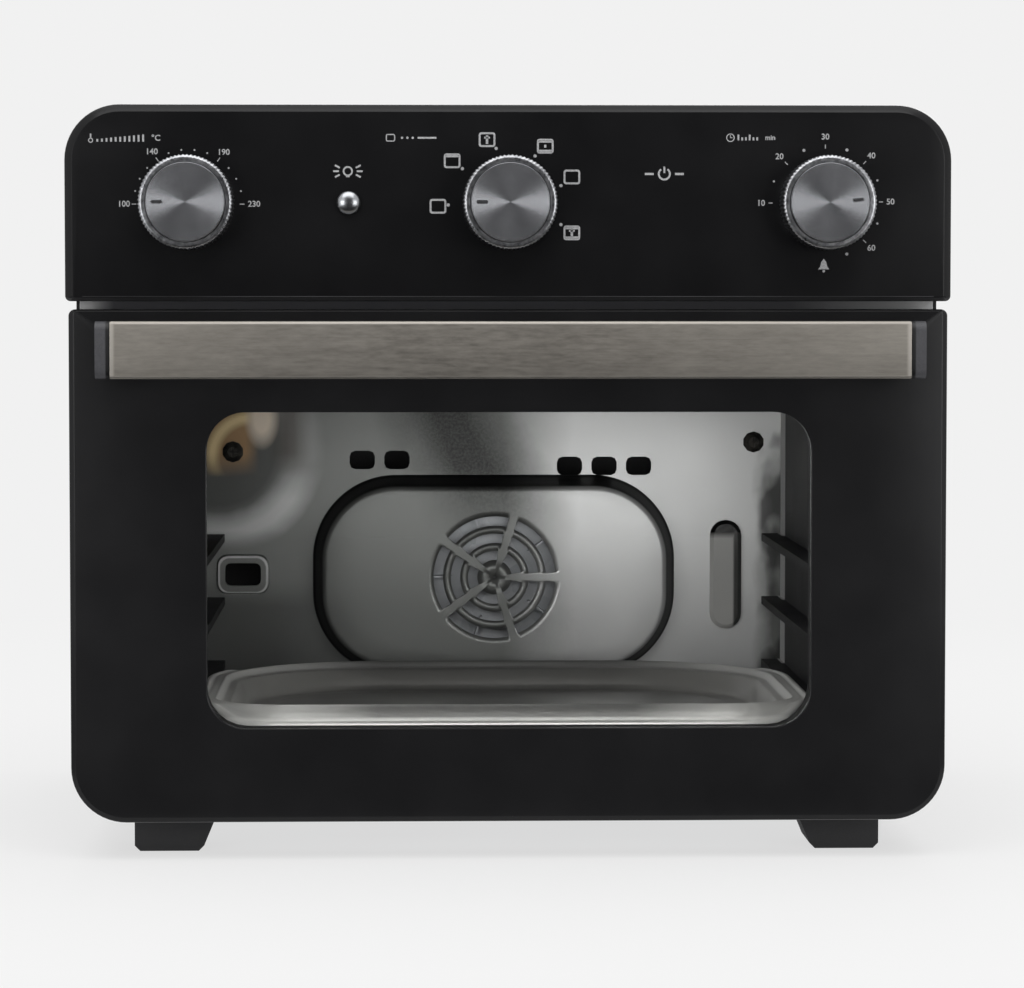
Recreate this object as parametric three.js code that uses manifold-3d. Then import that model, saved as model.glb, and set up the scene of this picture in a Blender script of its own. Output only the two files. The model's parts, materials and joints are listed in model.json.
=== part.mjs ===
// Electric countertop oven with a drop-down front door.
// Millimetres, +Z up, front towards -Y, origin at the centre of the underside of the feet.
import * as THREE from "three";
import { mergeVertices } from "three/addons/utils/BufferGeometryUtils.js";
import Module from "manifold-3d";

const wasm = await Module();
wasm.setup();

// Driving sizes
const fit = 0.3; // gap kept between pieces that touch
const overrun = 3; // how far a cutter runs past what it cuts
const sheet = 1.2; // thickness of the folded sheet pieces
const footHeight = 17.3;
const handleReach = 37; // from the door's face to the front of the handle
const seam = 3; // between the back of the door and the front frame
const seamHeight = 3.6; // between the door and the control fascia
const cavityDepth = 262;
const fanGap = 5.6; // between the cooling fan and the rear panel
const rearReach = 8; // how far the spacers stand off the rear panel

const fascia = { width: 400, height: 88.4, corner: 25, footCorner: 2.5, edge: 3.4, bevel: 2.4, wall: 2.6 };
const door = { inset: 1.5, height: 232.4, depth: 18, corner: 25, topCorner: 3, edge: 2.4, bevel: 1.6, wall: 3 };
const pan = { inset: 11, depth: 6, draft: 3, corner: 14, flange: 1.5 };
const window = { stile: 61.75, sill: 42.7, head: 46.4, corner: 17.5 };
const body = { inset: 3, drop: 2.4, corner: 22.6, footCorner: 24 };
const cavity = { sideGap: 45, rise: 22, drop: 24.4, corner: 8 };
const hinge = { setback: 9, rise: 9, inset: 25, pin: 6 };
const doorOpening = 80; // degrees
const motor = { bore: 6, size: 54, thickness: 15, corner: 5, standoff: 8, rotor: 9.5, gap: 0.8 };
const cooler = { radius: 34, blades: 6, blade: 1.4, depth: 7, hub: 7, tilt: 32 };

// Places along X, from the widest piece inwards
const doorWidth = fascia.width - door.inset * 2;
const bodyWidth = fascia.width - body.inset * 2;
const cavityWidth = bodyWidth - cavity.sideGap * 2;
const windowWidth = doorWidth - window.stile * 2;
const hingeAcross = bodyWidth / 2 - hinge.inset;

// Places along Y, from the front to the rear
const doorThickness = door.depth + pan.depth;
const motorBack = sheet + motor.standoff + motor.thickness; // from the cavity's rear wall
const fanBack = motorBack + motor.standoff / 2 + cooler.depth;
const machineDepth = fanBack + fanGap + sheet;
const overallDepth = handleReach + doorThickness + seam + sheet + cavityDepth + machineDepth + rearReach;
const handleFront = -overallDepth / 2;
const doorFront = handleFront + handleReach;
const doorRim = doorFront + door.depth; // rear edge of the door's outer frame
const doorBack = doorFront + doorThickness;
const frameFront = doorBack + seam;
const frameBack = frameFront + sheet;
const cavityRear = frameBack + cavityDepth;
const bodyRear = cavityRear + machineDepth;

// Places along Z
const doorTop = footHeight + door.height;
const fasciaBottom = doorTop + seamHeight;
const fasciaTop = fasciaBottom + fascia.height;
const bodyTop = fasciaTop - body.drop;
const windowBottom = footHeight + window.sill;
const windowTop = doorTop - window.head;
const cavityBottom = footHeight + cavity.rise;
const cavityTop = doorTop - cavity.drop;
const knobHeight = fasciaTop - fascia.height / 2;
const hingeDepth = doorFront + hinge.setback;
const hingeHeight = footHeight + hinge.rise;

const group = new THREE.Group();

const finishes = {
  blackGloss: { color: 0x1b1b1d, roughness: 0.28, metalness: 0.1 },
  blackPaint: { color: 0x222224, roughness: 0.5, metalness: 0.2 },
  darkPlastic: { color: 0x2a2a2c, roughness: 0.6, metalness: 0 },
  capPlastic: { color: 0x505054, roughness: 0.45, metalness: 0.1 },
  brushed: { color: 0x74716a, roughness: 0.35, metalness: 0.9 },
  spun: { color: 0x8c8e90, roughness: 0.3, metalness: 0.95 },
  zinc: { color: 0x9fa1a3, roughness: 0.4, metalness: 0.85 },
  enamel: { color: 0xa8aaa9, roughness: 0.3, metalness: 0.9 },
  steel: { color: 0xb8bab9, roughness: 0.25, metalness: 1 },
  glass: { color: 0x101214, roughness: 0.05, metalness: 0 },
  rubber: { color: 0x2b2b2c, roughness: 0.85, metalness: 0 },
  ceramic: { color: 0xe6e0d2, roughness: 0.6, metalness: 0 },
  heater: { color: 0x5b5a57, roughness: 0.55, metalness: 0.6 },
  copper: { color: 0x8b5a36, roughness: 0.45, metalness: 0.7 },
};

// A geometry as a manifold-3d solid, and back
function solidOf(geometry) {
  const bare = geometry.clone();
  bare.deleteAttribute("normal");
  bare.deleteAttribute("uv");
  const merged = mergeVertices(bare, 1e-4);
  return new wasm.Manifold(
    new wasm.Mesh({
      numProp: 3,
      vertProperties: new Float32Array(merged.attributes.position.array),
      triVerts: new Uint32Array(merged.index.array),
    }),
  );
}

function geometryOf(solid) {
  const mesh = solid.getMesh();
  const places = new Float32Array(mesh.numVert * 3);
  for (let i = 0; i < mesh.numVert; i++)
    places.set(mesh.vertProperties.subarray(i * mesh.numProp, i * mesh.numProp + 3), i * 3);
  const geometry = new THREE.BufferGeometry()
    .setAttribute("position", new THREE.BufferAttribute(places, 3))
    .setIndex(new THREE.BufferAttribute(new Uint32Array(mesh.triVerts), 1));
  const flat = geometry.toNonIndexed();
  flat.computeVertexNormals();
  return flat;
}

const join = (...pieces) => geometryOf(pieces.map(solidOf).reduce((a, b) => a.add(b)));
const cut = (piece, ...cutters) =>
  geometryOf(cutters.map(solidOf).reduce((a, b) => a.subtract(b), solidOf(piece)));
const common = (a, b) => geometryOf(solidOf(a).intersect(solidOf(b)));

// A block between two corners
function block(x0, x1, y0, y1, z0, z1) {
  return new THREE.BoxGeometry(x1 - x0, y1 - y0, z1 - z0).translate(
    (x0 + x1) / 2,
    (y0 + y1) / 2,
    (z0 + z1) / 2,
  );
}

// Rods along each axis
const rodY = (radius, y0, y1, x, z, sides = 20) =>
  new THREE.CylinderGeometry(radius, radius, y1 - y0, sides).translate(x, (y0 + y1) / 2, z);
const rodX = (radius, x0, x1, y, z, sides = 16) =>
  new THREE.CylinderGeometry(radius, radius, x1 - x0, sides)
    .rotateZ(-Math.PI / 2)
    .translate((x0 + x1) / 2, y, z);
const rodZ = (radius, z0, z1, x, y, sides = 16) =>
  new THREE.CylinderGeometry(radius, radius, z1 - z0, sides)
    .rotateX(Math.PI / 2)
    .translate(x, y, (z0 + z1) / 2);

// A rectangle with round corners as a path; the last two corners may have a radius of their own
function roundedPath(path, x0, x1, z0, z1, radius, topRadius = radius) {
  path.moveTo(x0 + radius, z0);
  path.lineTo(x1 - radius, z0);
  path.absarc(x1 - radius, z0 + radius, radius, -Math.PI / 2, 0, false);
  path.lineTo(x1, z1 - topRadius);
  path.absarc(x1 - topRadius, z1 - topRadius, topRadius, 0, Math.PI / 2, false);
  path.lineTo(x0 + topRadius, z1);
  path.absarc(x0 + topRadius, z1 - topRadius, topRadius, Math.PI / 2, Math.PI, false);
  path.lineTo(x0, z0 + radius);
  path.absarc(x0 + radius, z0 + radius, radius, Math.PI, Math.PI * 1.5, false);
  return path;
}
const roundedShape = (...places) => roundedPath(new THREE.Shape(), ...places);
const roundedHole = (...places) => roundedPath(new THREE.Path(), ...places);
function roundHole(x, z, radius) {
  const path = new THREE.Path();
  for (let quarter = 0; quarter < 4; quarter++)
    path.absarc(x, z, radius, (quarter * Math.PI) / 2, ((quarter + 1) * Math.PI) / 2, false);
  return path;
}

// A plate whose outline is drawn in X and Z and whose thickness runs along Y
function plateY(shape, yFront, yBack, curveSegments = 5) {
  return new THREE.ExtrudeGeometry(shape, { depth: yBack - yFront, bevelEnabled: false, curveSegments })
    .rotateX(Math.PI / 2)
    .translate(0, yBack, 0);
}

// A plate whose outline is drawn in X and Y and whose thickness runs along Z
const plateZ = (shape, zLow, zHigh, curveSegments = 5) =>
  new THREE.ExtrudeGeometry(shape, { depth: zHigh - zLow, bevelEnabled: false, curveSegments }).translate(
    0,
    0,
    zLow,
  );

// A plate whose outline is drawn in Y and Z and whose thickness runs along X
const plateX = (shape, xLow, xHigh, curveSegments = 5) =>
  new THREE.ExtrudeGeometry(shape, { depth: xHigh - xLow, bevelEnabled: false, curveSegments })
    .rotateY(Math.PI / 2)
    .rotateX(Math.PI / 2)
    .translate(xLow, 0, 0);

function outline(points) {
  const shape = new THREE.Shape();
  points.forEach(([a, b], i) => (i ? shape.lineTo(a, b) : shape.moveTo(a, b)));
  shape.closePath();
  return shape;
}

// A closed loop of points round a rectangle with round corners, for lofts
function roundedLoop(width, height, radius, steps, centre = [0, 0], topRadius = radius) {
  const loop = [];
  const corners = [
    [1, -1, -90, radius],
    [1, 1, 0, topRadius],
    [-1, 1, 90, topRadius],
    [-1, -1, 180, radius],
  ];
  for (const [sx, sz, start, r] of corners)
    for (let i = 0; i <= steps; i++) {
      const angle = THREE.MathUtils.degToRad(start + (90 * i) / steps);
      loop.push([
        centre[0] + sx * (width / 2 - r) + r * Math.cos(angle),
        centre[1] + sz * (height / 2 - r) + r * Math.sin(angle),
      ]);
    }
  return loop;
}

// A round loop whose radius rises and falls a number of times
function flutedLoop(radius, flutes, depth, samples) {
  const loop = [];
  for (let i = 0; i < flutes * samples; i++) {
    const angle = (i * Math.PI * 2) / (flutes * samples);
    const r = radius - (depth * (1 - Math.cos(angle * flutes))) / 2;
    loop.push([r * Math.cos(angle), r * Math.sin(angle)]);
  }
  return loop;
}

// A skin over a row of loops at rising levels, closed at both ends by fans about the centre
function loft(loops, levels) {
  const count = loops[0].length;
  const places = [];
  loops.forEach((loop, k) => loop.forEach(([a, b]) => places.push(a, b, levels[k])));
  const middle = (loop) => [0, 1].map((axis) => loop.reduce((sum, p) => sum + p[axis], 0) / count);
  places.push(...middle(loops[0]), levels[0]);
  places.push(...middle(loops.at(-1)), levels.at(-1));
  const faces = [];
  const low = loops.length * count;
  for (let i = 0; i < count; i++) {
    const next = (i + 1) % count;
    for (let k = 0; k < loops.length - 1; k++) {
      const a = k * count;
      const b = a + count;
      faces.push(a + i, a + next, b + next, a + i, b + next, b + i);
    }
    faces.push(low, next, i);
    faces.push(low + 1, low - count + i, low - count + next);
  }
  const geometry = new THREE.BufferGeometry()
    .setAttribute("position", new THREE.Float32BufferAttribute(places, 3))
    .setIndex(faces);
  geometry.computeVertexNormals();
  return geometry;
}

// A lofted skin whose levels run forwards from a plane: level 0 lies at y, and the rest in front of it
const loftForward = (loops, levels, y) => loft(loops, levels).rotateX(Math.PI / 2).translate(0, y, 0);

// The same with levels that run to the rear
const loftBack = (loops, levels, y) =>
  loft(
    loops.map((loop) => loop.map(([a, b]) => [a, -b]).reverse()),
    levels,
  )
    .rotateX(-Math.PI / 2)
    .translate(0, y, 0);

// A round bar along a path through points
function bar(points, radius, steps, sides = 6) {
  const section = new THREE.Shape();
  for (let i = 0; i < sides; i++) {
    const angle = (i * Math.PI * 2) / sides;
    const at = [radius * Math.cos(angle), radius * Math.sin(angle)];
    if (i) section.lineTo(...at);
    else section.moveTo(...at);
  }
  section.closePath();
  return new THREE.ExtrudeGeometry(section, { steps, extrudePath: points, bevelEnabled: false });
}

function add(parent, name, geometry, finish) {
  const mesh = new THREE.Mesh(geometry, new THREE.MeshStandardMaterial(finishes[finish]));
  mesh.name = name;
  parent.add(mesh);
  return mesh;
}

// Casing

const louvre = { length: 26, height: 3, pitch: 8, rows: 6, fromRear: 46, fromTop: 60, columns: 2, gap: 12 };

// The wrap-over casing: the top, both sides and their curled feet in one rolled sheet, with rows of slots in the sides
function outerShell() {
  const half = bodyWidth / 2;
  const skin = plateY(
    roundedShape(-half, half, footHeight, bodyTop, body.footCorner, body.corner),
    frameFront,
    bodyRear,
    4,
  );
  const inner = plateY(
    roundedShape(
      -half + sheet,
      half - sheet,
      footHeight + sheet,
      bodyTop - sheet,
      body.footCorner - sheet,
      body.corner - sheet,
    ),
    frameFront - overrun,
    bodyRear + overrun,
    4,
  );
  const lip = half - body.footCorner;
  const mouth = block(-lip, lip, frameFront - overrun, bodyRear + overrun, footHeight - overrun, footHeight + overrun);
  const slots = [];
  for (let column = 0; column < louvre.columns; column++)
    for (let row = 0; row < louvre.rows; row++) {
      const rear = bodyRear - louvre.fromRear - column * (louvre.length + louvre.gap);
      const top = bodyTop - louvre.fromTop - row * louvre.pitch;
      slots.push(
        block(-half - overrun, half + overrun, rear - louvre.length, rear, top - louvre.height, top),
      );
    }
  return cut(skin, inner, mouth, ...slots);
}

const vent = { length: 60, width: 4, pitch: 30, count: 7, border: 50, gap: 30 };
const floorFlange = 14;

// The floor pan of the casing, between the curled feet of the sides, with its sides folded up and rows of air slots
function basePlate() {
  const half = bodyWidth / 2 - body.footCorner - fit;
  const front = frameBack + fit;
  const rear = bodyRear - sheet - fit;
  const profile = outline([
    [-half, footHeight],
    [half, footHeight],
    [half, footHeight + floorFlange],
    [half - sheet, footHeight + floorFlange],
    [half - sheet, footHeight + sheet],
    [-half + sheet, footHeight + sheet],
    [-half + sheet, footHeight + floorFlange],
    [-half, footHeight + floorFlange],
  ]);
  const slots = [];
  for (const side of [-1, 1])
    for (let i = 0; i < vent.count; i++) {
      const y = front + vent.border + i * vent.pitch;
      const inner = vent.gap / 2;
      const xs = side < 0 ? [-inner - vent.length, -inner] : [inner, inner + vent.length];
      slots.push(block(...xs, y, y + vent.width, footHeight - overrun, footHeight + sheet + overrun));
    }
  return cut(plateY(profile, front, rear), ...slots);
}

const gland = { radius: 7, collar: 9.5, collarDepth: 4, tail: 12, inset: 47, rise: 40, bore: 3.4 };
const glandX = gland.inset - bodyWidth / 2;
const rearVent = { length: 90, height: 4.4, pitch: 12, count: 5, top: 40, gap: 24 };

// The rear panel of the casing, with two stacks of air slots and the hole for the cord's gland
function rearPanel() {
  const half = bodyWidth / 2 - sheet - fit;
  const top = bodyTop - sheet - fit;
  const foot = body.footCorner - sheet - fit;
  const shape = roundedShape(-half, half, footHeight + sheet + fit, top, foot, body.corner - sheet);
  for (const side of [-1, 1])
    for (let i = 0; i < rearVent.count; i++) {
      const z = top - rearVent.top - i * rearVent.pitch;
      const x0 = side < 0 ? -rearVent.gap / 2 - rearVent.length : rearVent.gap / 2;
      shape.holes.push(
        roundedHole(x0, x0 + rearVent.length, z - rearVent.height, z, rearVent.height / 2 - fit),
      );
    }
  const hole = rodY(
    gland.radius + fit,
    bodyRear - overrun,
    bodyRear + overrun,
    glandX,
    footHeight + gland.rise,
  );
  return cut(plateY(shape, bodyRear - sheet, bodyRear, 1), hole);
}

// The gland where the supply cord enters: a collar outside the panel and a sleeve through it
function cordGland() {
  const z = footHeight + gland.rise;
  const sleeve = rodY(gland.radius, bodyRear - gland.tail, bodyRear + fit * 2, glandX, z, 14);
  const collar = rodY(gland.collar, bodyRear + fit, bodyRear + fit + gland.collarDepth, glandX, z, 14);
  const bore = rodY(gland.bore, bodyRear - gland.tail - overrun, bodyRear + gland.collarDepth * 2, glandX, z, 12);
  return cut(join(sleeve, collar), bore);
}

const spacer = { width: 40, height: 22, inset: 77, rise: 210, wall: 2.4, draft: 3 };

// A hollow block that keeps the oven off the wall behind it
function rearSpacer(side) {
  const centre = [side * (bodyWidth / 2 - spacer.inset), footHeight + spacer.rise];
  const ring = (inset) =>
    roundedLoop(spacer.width - inset * 2, spacer.height - inset * 2, spacer.draft - inset / 2, 2, centre);
  const base = bodyRear + fit;
  const outer = loftBack([ring(0), ring(spacer.draft / 2)], [0, rearReach - fit], base);
  const inner = spacer.draft / 2 + spacer.wall;
  const hollow = loftBack([ring(inner), ring(inner)], [-overrun, rearReach - fit - spacer.wall], base);
  return cut(outer, hollow);
}

const foot = { width: 38, taper: 6, depth: 34, inset: 25, frontSetback: 3, rearSetback: 20, pad: 2.5 };

// A foot with a straight outer side and a slanted inner one
function footBlock(side, rear) {
  const outer = side * (bodyWidth / 2 - foot.inset);
  const inner = outer - side * foot.width;
  const y0 = rear ? bodyRear - foot.rearSetback - foot.depth : frameBack + foot.frontSetback;
  const points = [
    [outer, footHeight - fit],
    [inner, footHeight - fit],
    [inner + side * foot.taper, foot.pad],
    [inner + side * (foot.taper + foot.pad), 0],
    [outer - side * foot.pad, 0],
    [outer, foot.pad],
  ];
  return plateY(outline(side < 0 ? points : points.reverse()), y0, y0 + foot.depth);
}

// Front

const knob = { leftInset: 55.2, rightInset: 57.2, radius: 20.7, height: 17, stand: 1.2, crown: 1.6, flutes: 30, fluteDepth: 0.9 };
const shaft = { radius: 3, hole: 5, boss: 5.5, length: 34, flat: 1 };
const button = { radius: 5.3, travel: 2.5, proud: 4.2, length: 16, flange: 7, flangeDepth: 1.5 };
const knobPlaces = [knob.leftInset - fascia.width / 2, 0, fascia.width / 2 - knob.rightInset];
const buttonX = knobPlaces[0] / 2;

// The control fascia: a moulded cap with a bevelled rim, open at the back
function controlFascia() {
  const depth = frameFront - fit - doorFront;
  const centre = [0, (fasciaBottom + fasciaTop) / 2];
  const ring = (inset) =>
    roundedLoop(
      fascia.width - inset * 2,
      fascia.height - inset * 2,
      Math.max(fascia.footCorner - inset, fit),
      5,
      centre,
      fascia.corner - inset,
    );
  const skin = loftForward(
    [ring(0), ring(0), ring(fascia.edge / 3), ring(fascia.edge)],
    [0, depth - fascia.bevel, depth - fascia.bevel / 3, depth],
    frameFront - fit,
  );
  const hollow = loftForward(
    [ring(fascia.wall), ring(fascia.wall), ring(fascia.wall + fascia.bevel)],
    [-overrun, depth - fascia.bevel - fascia.wall, depth - fascia.wall],
    frameFront - fit,
  );
  const holes = knobPlaces.map((x) =>
    rodY(shaft.hole, doorFront - overrun, doorFront + fascia.wall + overrun, x, knobHeight),
  );
  const buttonHole = rodY(
    button.radius + fit,
    doorFront - overrun,
    doorFront + fascia.wall + overrun,
    buttonX,
    knobHeight,
  );
  return cut(skin, hollow, ...holes, buttonHole);
}

const arm = { setback: 11, rise: 56, inset: 33, width: 9, drop: 27, thickness: 2, eye: 6.5, pin: 2.4, pinReach: 5, lug: 8, lugLength: 7 };
const armRatio = -0.68; // how far the arm turns back for each degree of the door
const armSlotMargin = 1.5;
const armAcross = bodyWidth / 2 - arm.inset;

// Where the arm's pivot stands when the door has turned by an angle, as [y, z]
function armPivot(degrees) {
  const angle = THREE.MathUtils.degToRad(degrees);
  const y = doorFront + arm.setback - hingeDepth;
  const z = footHeight + arm.rise - hingeHeight;
  return [
    hingeDepth + y * Math.cos(angle) - z * Math.sin(angle),
    hingeHeight + z * Math.cos(angle) + y * Math.sin(angle),
  ];
}

// The height of the arm's centre line where it crosses the front frame
function armCrossing(degrees) {
  const [y, z] = armPivot(degrees);
  const tilt = THREE.MathUtils.degToRad(degrees * (1 + armRatio));
  return z + ((frameFront + frameBack) / 2 - y) * Math.tan(tilt);
}

function armSlot() {
  const heights = Array.from({ length: doorOpening + 1 }, (_, degrees) => armCrossing(degrees));
  const tilt = THREE.MathUtils.degToRad(doorOpening * (1 + armRatio));
  const reach = arm.width / 2 / Math.cos(tilt) + sheet * Math.tan(tilt) + armSlotMargin;
  return [Math.min(...heights) - reach, Math.max(...heights) + reach];
}

// The front frame: the plate round the mouth of the cavity, carrying the controls above it
function frontFrame() {
  const half = bodyWidth / 2 - sheet - fit;
  const top = bodyTop - sheet - fit;
  const foot = body.footCorner - sheet - fit;
  const shape = roundedShape(-half, half, footHeight + sheet + fit, top, foot, body.corner - sheet);
  const mouth = cavityWidth / 2;
  shape.holes.push(roundedHole(-mouth, mouth, cavityBottom, cavityTop, cavity.corner));
  for (const x of knobPlaces) shape.holes.push(roundHole(x, knobHeight, shaft.hole));
  shape.holes.push(roundHole(buttonX, knobHeight, button.radius + fit));
  const [low, high] = armSlot();
  const slotHalf = arm.thickness / 2 + armSlotMargin;
  for (const side of [-1, 1]) {
    const x = side * armAcross;
    shape.holes.push(roundedHole(x - slotHalf, x + slotHalf, low, high, slotHalf / 2));
  }
  return plateY(shape, frameFront, frameBack, 2);
}

const seal = { inset: 3, width: 5.5, corner: 11 };

// The soft seal round the mouth of the cavity
function doorSeal() {
  const ring = (shape, margin, corner) =>
    roundedPath(
      shape,
      -cavityWidth / 2 - margin,
      cavityWidth / 2 + margin,
      cavityBottom - margin,
      cavityTop + margin,
      corner,
    );
  const shape = ring(new THREE.Shape(), seal.inset + seal.width, seal.corner + seal.width);
  shape.holes.push(ring(new THREE.Path(), seal.inset, seal.corner));
  return plateY(shape, doorBack + fit, frameFront - fit, 2);
}

const bracket = { thickness: 2.4, half: 6, flange: 16, flangeTop: 34, sheet: 1.5 };

// A hinge bracket: an eye plate round the hinge pin, with a flange on the front frame
function hingeBracket(side) {
  const x = side * hingeAcross;
  const x0 = x - bracket.thickness / 2;
  const x1 = x + bracket.thickness / 2;
  const back = frameFront - fit;
  const eye = new THREE.Shape();
  eye.moveTo(back, hingeHeight - bracket.half);
  eye.lineTo(back, hingeHeight + bracket.half);
  eye.lineTo(hingeDepth, hingeHeight + bracket.half);
  eye.absarc(hingeDepth, hingeHeight, bracket.half, Math.PI / 2, Math.PI * 1.5, false);
  eye.closePath();
  eye.holes.push(new THREE.Path().absarc(hingeDepth, hingeHeight, hinge.pin / 2 + fit, 0, Math.PI * 2, false));
  const outer = side < 0 ? [x0 - bracket.flange, x1] : [x0, x1 + bracket.flange];
  const foot0 = block(
    ...outer,
    back - bracket.sheet,
    back,
    hingeHeight - bracket.half,
    footHeight + bracket.flangeTop,
  );
  return join(plateX(eye, x0, x1, 6), foot0);
}

// Cavity

const tray = {
  sideGap: 6,
  rearGap: 25,
  corner: 88,
  rim: 26.7, // above the cavity's floor
  height: 15,
  sheet: 1,
  edge: 2.4, // depth of the rolled edge
  ledge: 6.5, // the flat ring next to the edge
  run: 1.6, // how far each step of the side slopes
  step: 2.2, // the drop from the ledge to the shelf
  shelf: 5,
  slope: 9,
  front: 9, // from the front frame to the rim
};
const runner = { depth: 10, height: 4, above: [33.4, 66.8] };

const trayWidth = cavityWidth - tray.sideGap * 2;
const trayDepth = cavityDepth - tray.front - tray.rearGap;

// The ledges' heights above the cavity's floor: the lowest carries the tray by its rim
const trayLedge = tray.rim - tray.edge - fit;
const ledges = [trayLedge, ...runner.above.map((rise) => trayLedge + rise)];

// One side of the liner's section with its pressed runners, from the bottom to the top, at +X
function linerSide(offset) {
  const x = cavityWidth / 2 + offset;
  const points = [];
  for (const level of ledges) {
    const z = cavityBottom + level;
    points.push([x, z - runner.height - runner.depth / 2 + offset]);
    points.push([x - runner.depth, z - runner.height + offset]);
    points.push([x - runner.depth, z - offset]);
    points.push([x, z - offset]);
  }
  return points;
}

// The cavity liner: a folded box, open at the front and the rear, with runners pressed in its sides
function cavityLiner() {
  const section = (path, offset) => {
    const side = linerSide(offset);
    const half = cavityWidth / 2 + offset;
    const r = cavity.corner + offset;
    const low = cavityBottom - offset;
    const high = cavityTop + offset;
    path.moveTo(-half + r, low);
    path.lineTo(half - r, low);
    path.absarc(half - r, low + r, r, -Math.PI / 2, 0, false);
    side.forEach(([x, z]) => path.lineTo(x, z));
    path.lineTo(half, high - r);
    path.absarc(half - r, high - r, r, 0, Math.PI / 2, false);
    path.lineTo(-half + r, high);
    path.absarc(-half + r, high - r, r, Math.PI / 2, Math.PI, false);
    side.reverse().forEach(([x, z]) => path.lineTo(-x, z));
    path.lineTo(-half, low + r);
    path.absarc(-half + r, low + r, r, Math.PI, Math.PI * 1.5, false);
    return path;
  };
  const shape = section(new THREE.Shape(), sheet);
  shape.holes.push(section(new THREE.Path(), 0));
  const skin = plateY(shape, frameBack + fit, cavityRear - fit, 2);
  const holes = [];
  for (const [height, spread] of [
    [element.upper, element.spread],
    [element.lower, element.spread],
  ])
    for (const end of [-1, 1])
      holes.push(
        rodX(
          element.radius + fit,
          cavityWidth / 2 - runner.depth - overrun,
          cavityWidth / 2 + sheet + overrun,
          cavityMiddle + (end * spread) / 2,
          height,
          12,
        ),
      );
  return cut(skin, ...holes);
}

const cavityMiddle = (frameBack + cavityRear) / 2;
const element = {
  radius: 3.25,
  spread: 120,
  upper: cavityTop - 15,
  lower: cavityBottom + 6.2,
  clearance: 20,
  tail: 14,
};

// A heating rod bent into a U, with both ends through the right side of the cavity
function heatingElement(height) {
  const outside = cavityWidth / 2 + sheet + element.tail;
  const far = -cavityWidth / 2 + element.clearance;
  const y0 = cavityMiddle - element.spread / 2;
  const y1 = cavityMiddle + element.spread / 2;
  const bend = element.spread / 2;
  const at = (x, y) => new THREE.Vector3(x, y, height);
  const path = new THREE.CurvePath();
  const bendShare = 0.5523; // a cubic with this handle follows a quarter circle
  const handle = bend * bendShare;
  path.add(new THREE.LineCurve3(at(outside, y0), at(far + bend, y0)));
  path.add(
    new THREE.CubicBezierCurve3(
      at(far + bend, y0),
      at(far + bend - handle, y0),
      at(far, cavityMiddle - handle),
      at(far, cavityMiddle),
    ),
  );
  path.add(
    new THREE.CubicBezierCurve3(
      at(far, cavityMiddle),
      at(far, cavityMiddle + handle),
      at(far + bend - handle, y1),
      at(far + bend, y1),
    ),
  );
  path.add(new THREE.LineCurve3(at(far + bend, y1), at(outside, y1)));
  return bar(path, element.radius, 26);
}

const cover = { sideGap: 56.5, bottom: 16, top: 122, corner: 44, reach: 18, draft: 5, lip: 6 };
const coverWidth = cavityWidth - cover.sideGap * 2;
const airSlot = { width: 13.4, height: 9.8, pitch: 18.3, corner: 3 };
const airSlotRows = [
  { side: -1, first: 51.1, rise: 129.9, count: 2 },
  { side: 1, first: 40.1, rise: 126.6, count: 3 },
];
const wallScrew = { inset: 14.5, rise: 134.3, rightLift: 4.9, radius: 5.6, dome: 3, shank: 2.2, length: 9, cross: 1.2, crossDepth: 1.4 };
const lamp = { inset: 29.2, width: 16.6, height: 57.4, middle: 69.2, reach: 4, bulb: 4.5, base: 12 };
const sensor = { inset: 19.6, width: 28.4, height: 21.8, middle: 69.6, reach: 2.4, corner: 6, opening: 19, openingHeight: 12 };
const lampX = cavityWidth / 2 - lamp.inset;
const sensorX = sensor.inset - cavityWidth / 2;

// The rear wall of the cavity: holes for the fan's shaft and air, a row of air slots above the
// fan cover, the lamp's window and an embossed opening for the temperature sensor
function cavityRearWall() {
  const half = cavityWidth / 2 + sheet;
  const shape = roundedShape(
    -half,
    half,
    cavityBottom - sheet,
    cavityTop + sheet,
    cavity.corner,
  );
  for (const row of airSlotRows)
    for (let i = 0; i < row.count; i++) {
      const x = row.side * (row.first + i * airSlot.pitch);
      const z = cavityBottom + row.rise;
      shape.holes.push(
        roundedHole(
          x - airSlot.width / 2,
          x + airSlot.width / 2,
          z - airSlot.height / 2,
          z + airSlot.height / 2,
          airSlot.corner,
        ),
      );
    }
  for (const side of [-1, 1])
    shape.holes.push(roundHole(side * (cavityWidth / 2 - wallScrew.inset), wallScrewHeight(side), wallScrew.shank + fit));
  const hub = (cover.bottom + cover.top) / 2 + cavityBottom;
  shape.holes.push(roundHole(0, hub, motor.bore));
  shape.holes.push(
    roundedHole(
      lampX - lamp.width / 2 + sheet,
      lampX + lamp.width / 2 - sheet,
      cavityBottom + lamp.middle - lamp.height / 2 + sheet,
      cavityBottom + lamp.middle + lamp.height / 2 - sheet,
      lamp.width / 2 - sheet * 2,
    ),
  );
  const plate = plateY(shape, cavityRear, cavityRear + sheet, 1);
  const raised = loftForward(
    [
      roundedLoop(sensor.width, sensor.height, sensor.corner, 3, [sensorX, cavityBottom + sensor.middle]),
      roundedLoop(
        sensor.width - sensor.reach,
        sensor.height - sensor.reach,
        sensor.corner - sensor.reach / 2,
        3,
        [sensorX, cavityBottom + sensor.middle],
      ),
    ],
    [-sheet / 2, sensor.reach],
    cavityRear,
  );
  const mouth = loftForward(
    [-overrun, sensor.reach + overrun].map(() =>
      roundedLoop(sensor.opening, sensor.openingHeight, sensor.corner / 2, 3, [
        sensorX,
        cavityBottom + sensor.middle,
      ]),
    ),
    [-overrun, sensor.reach + overrun],
    cavityRear,
  );
  return cut(join(plate, raised), mouth);
}

const grille = { rings: 3, spokes: 5, first: 9, pitch: 9, width: 5, rib: 4 };

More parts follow.
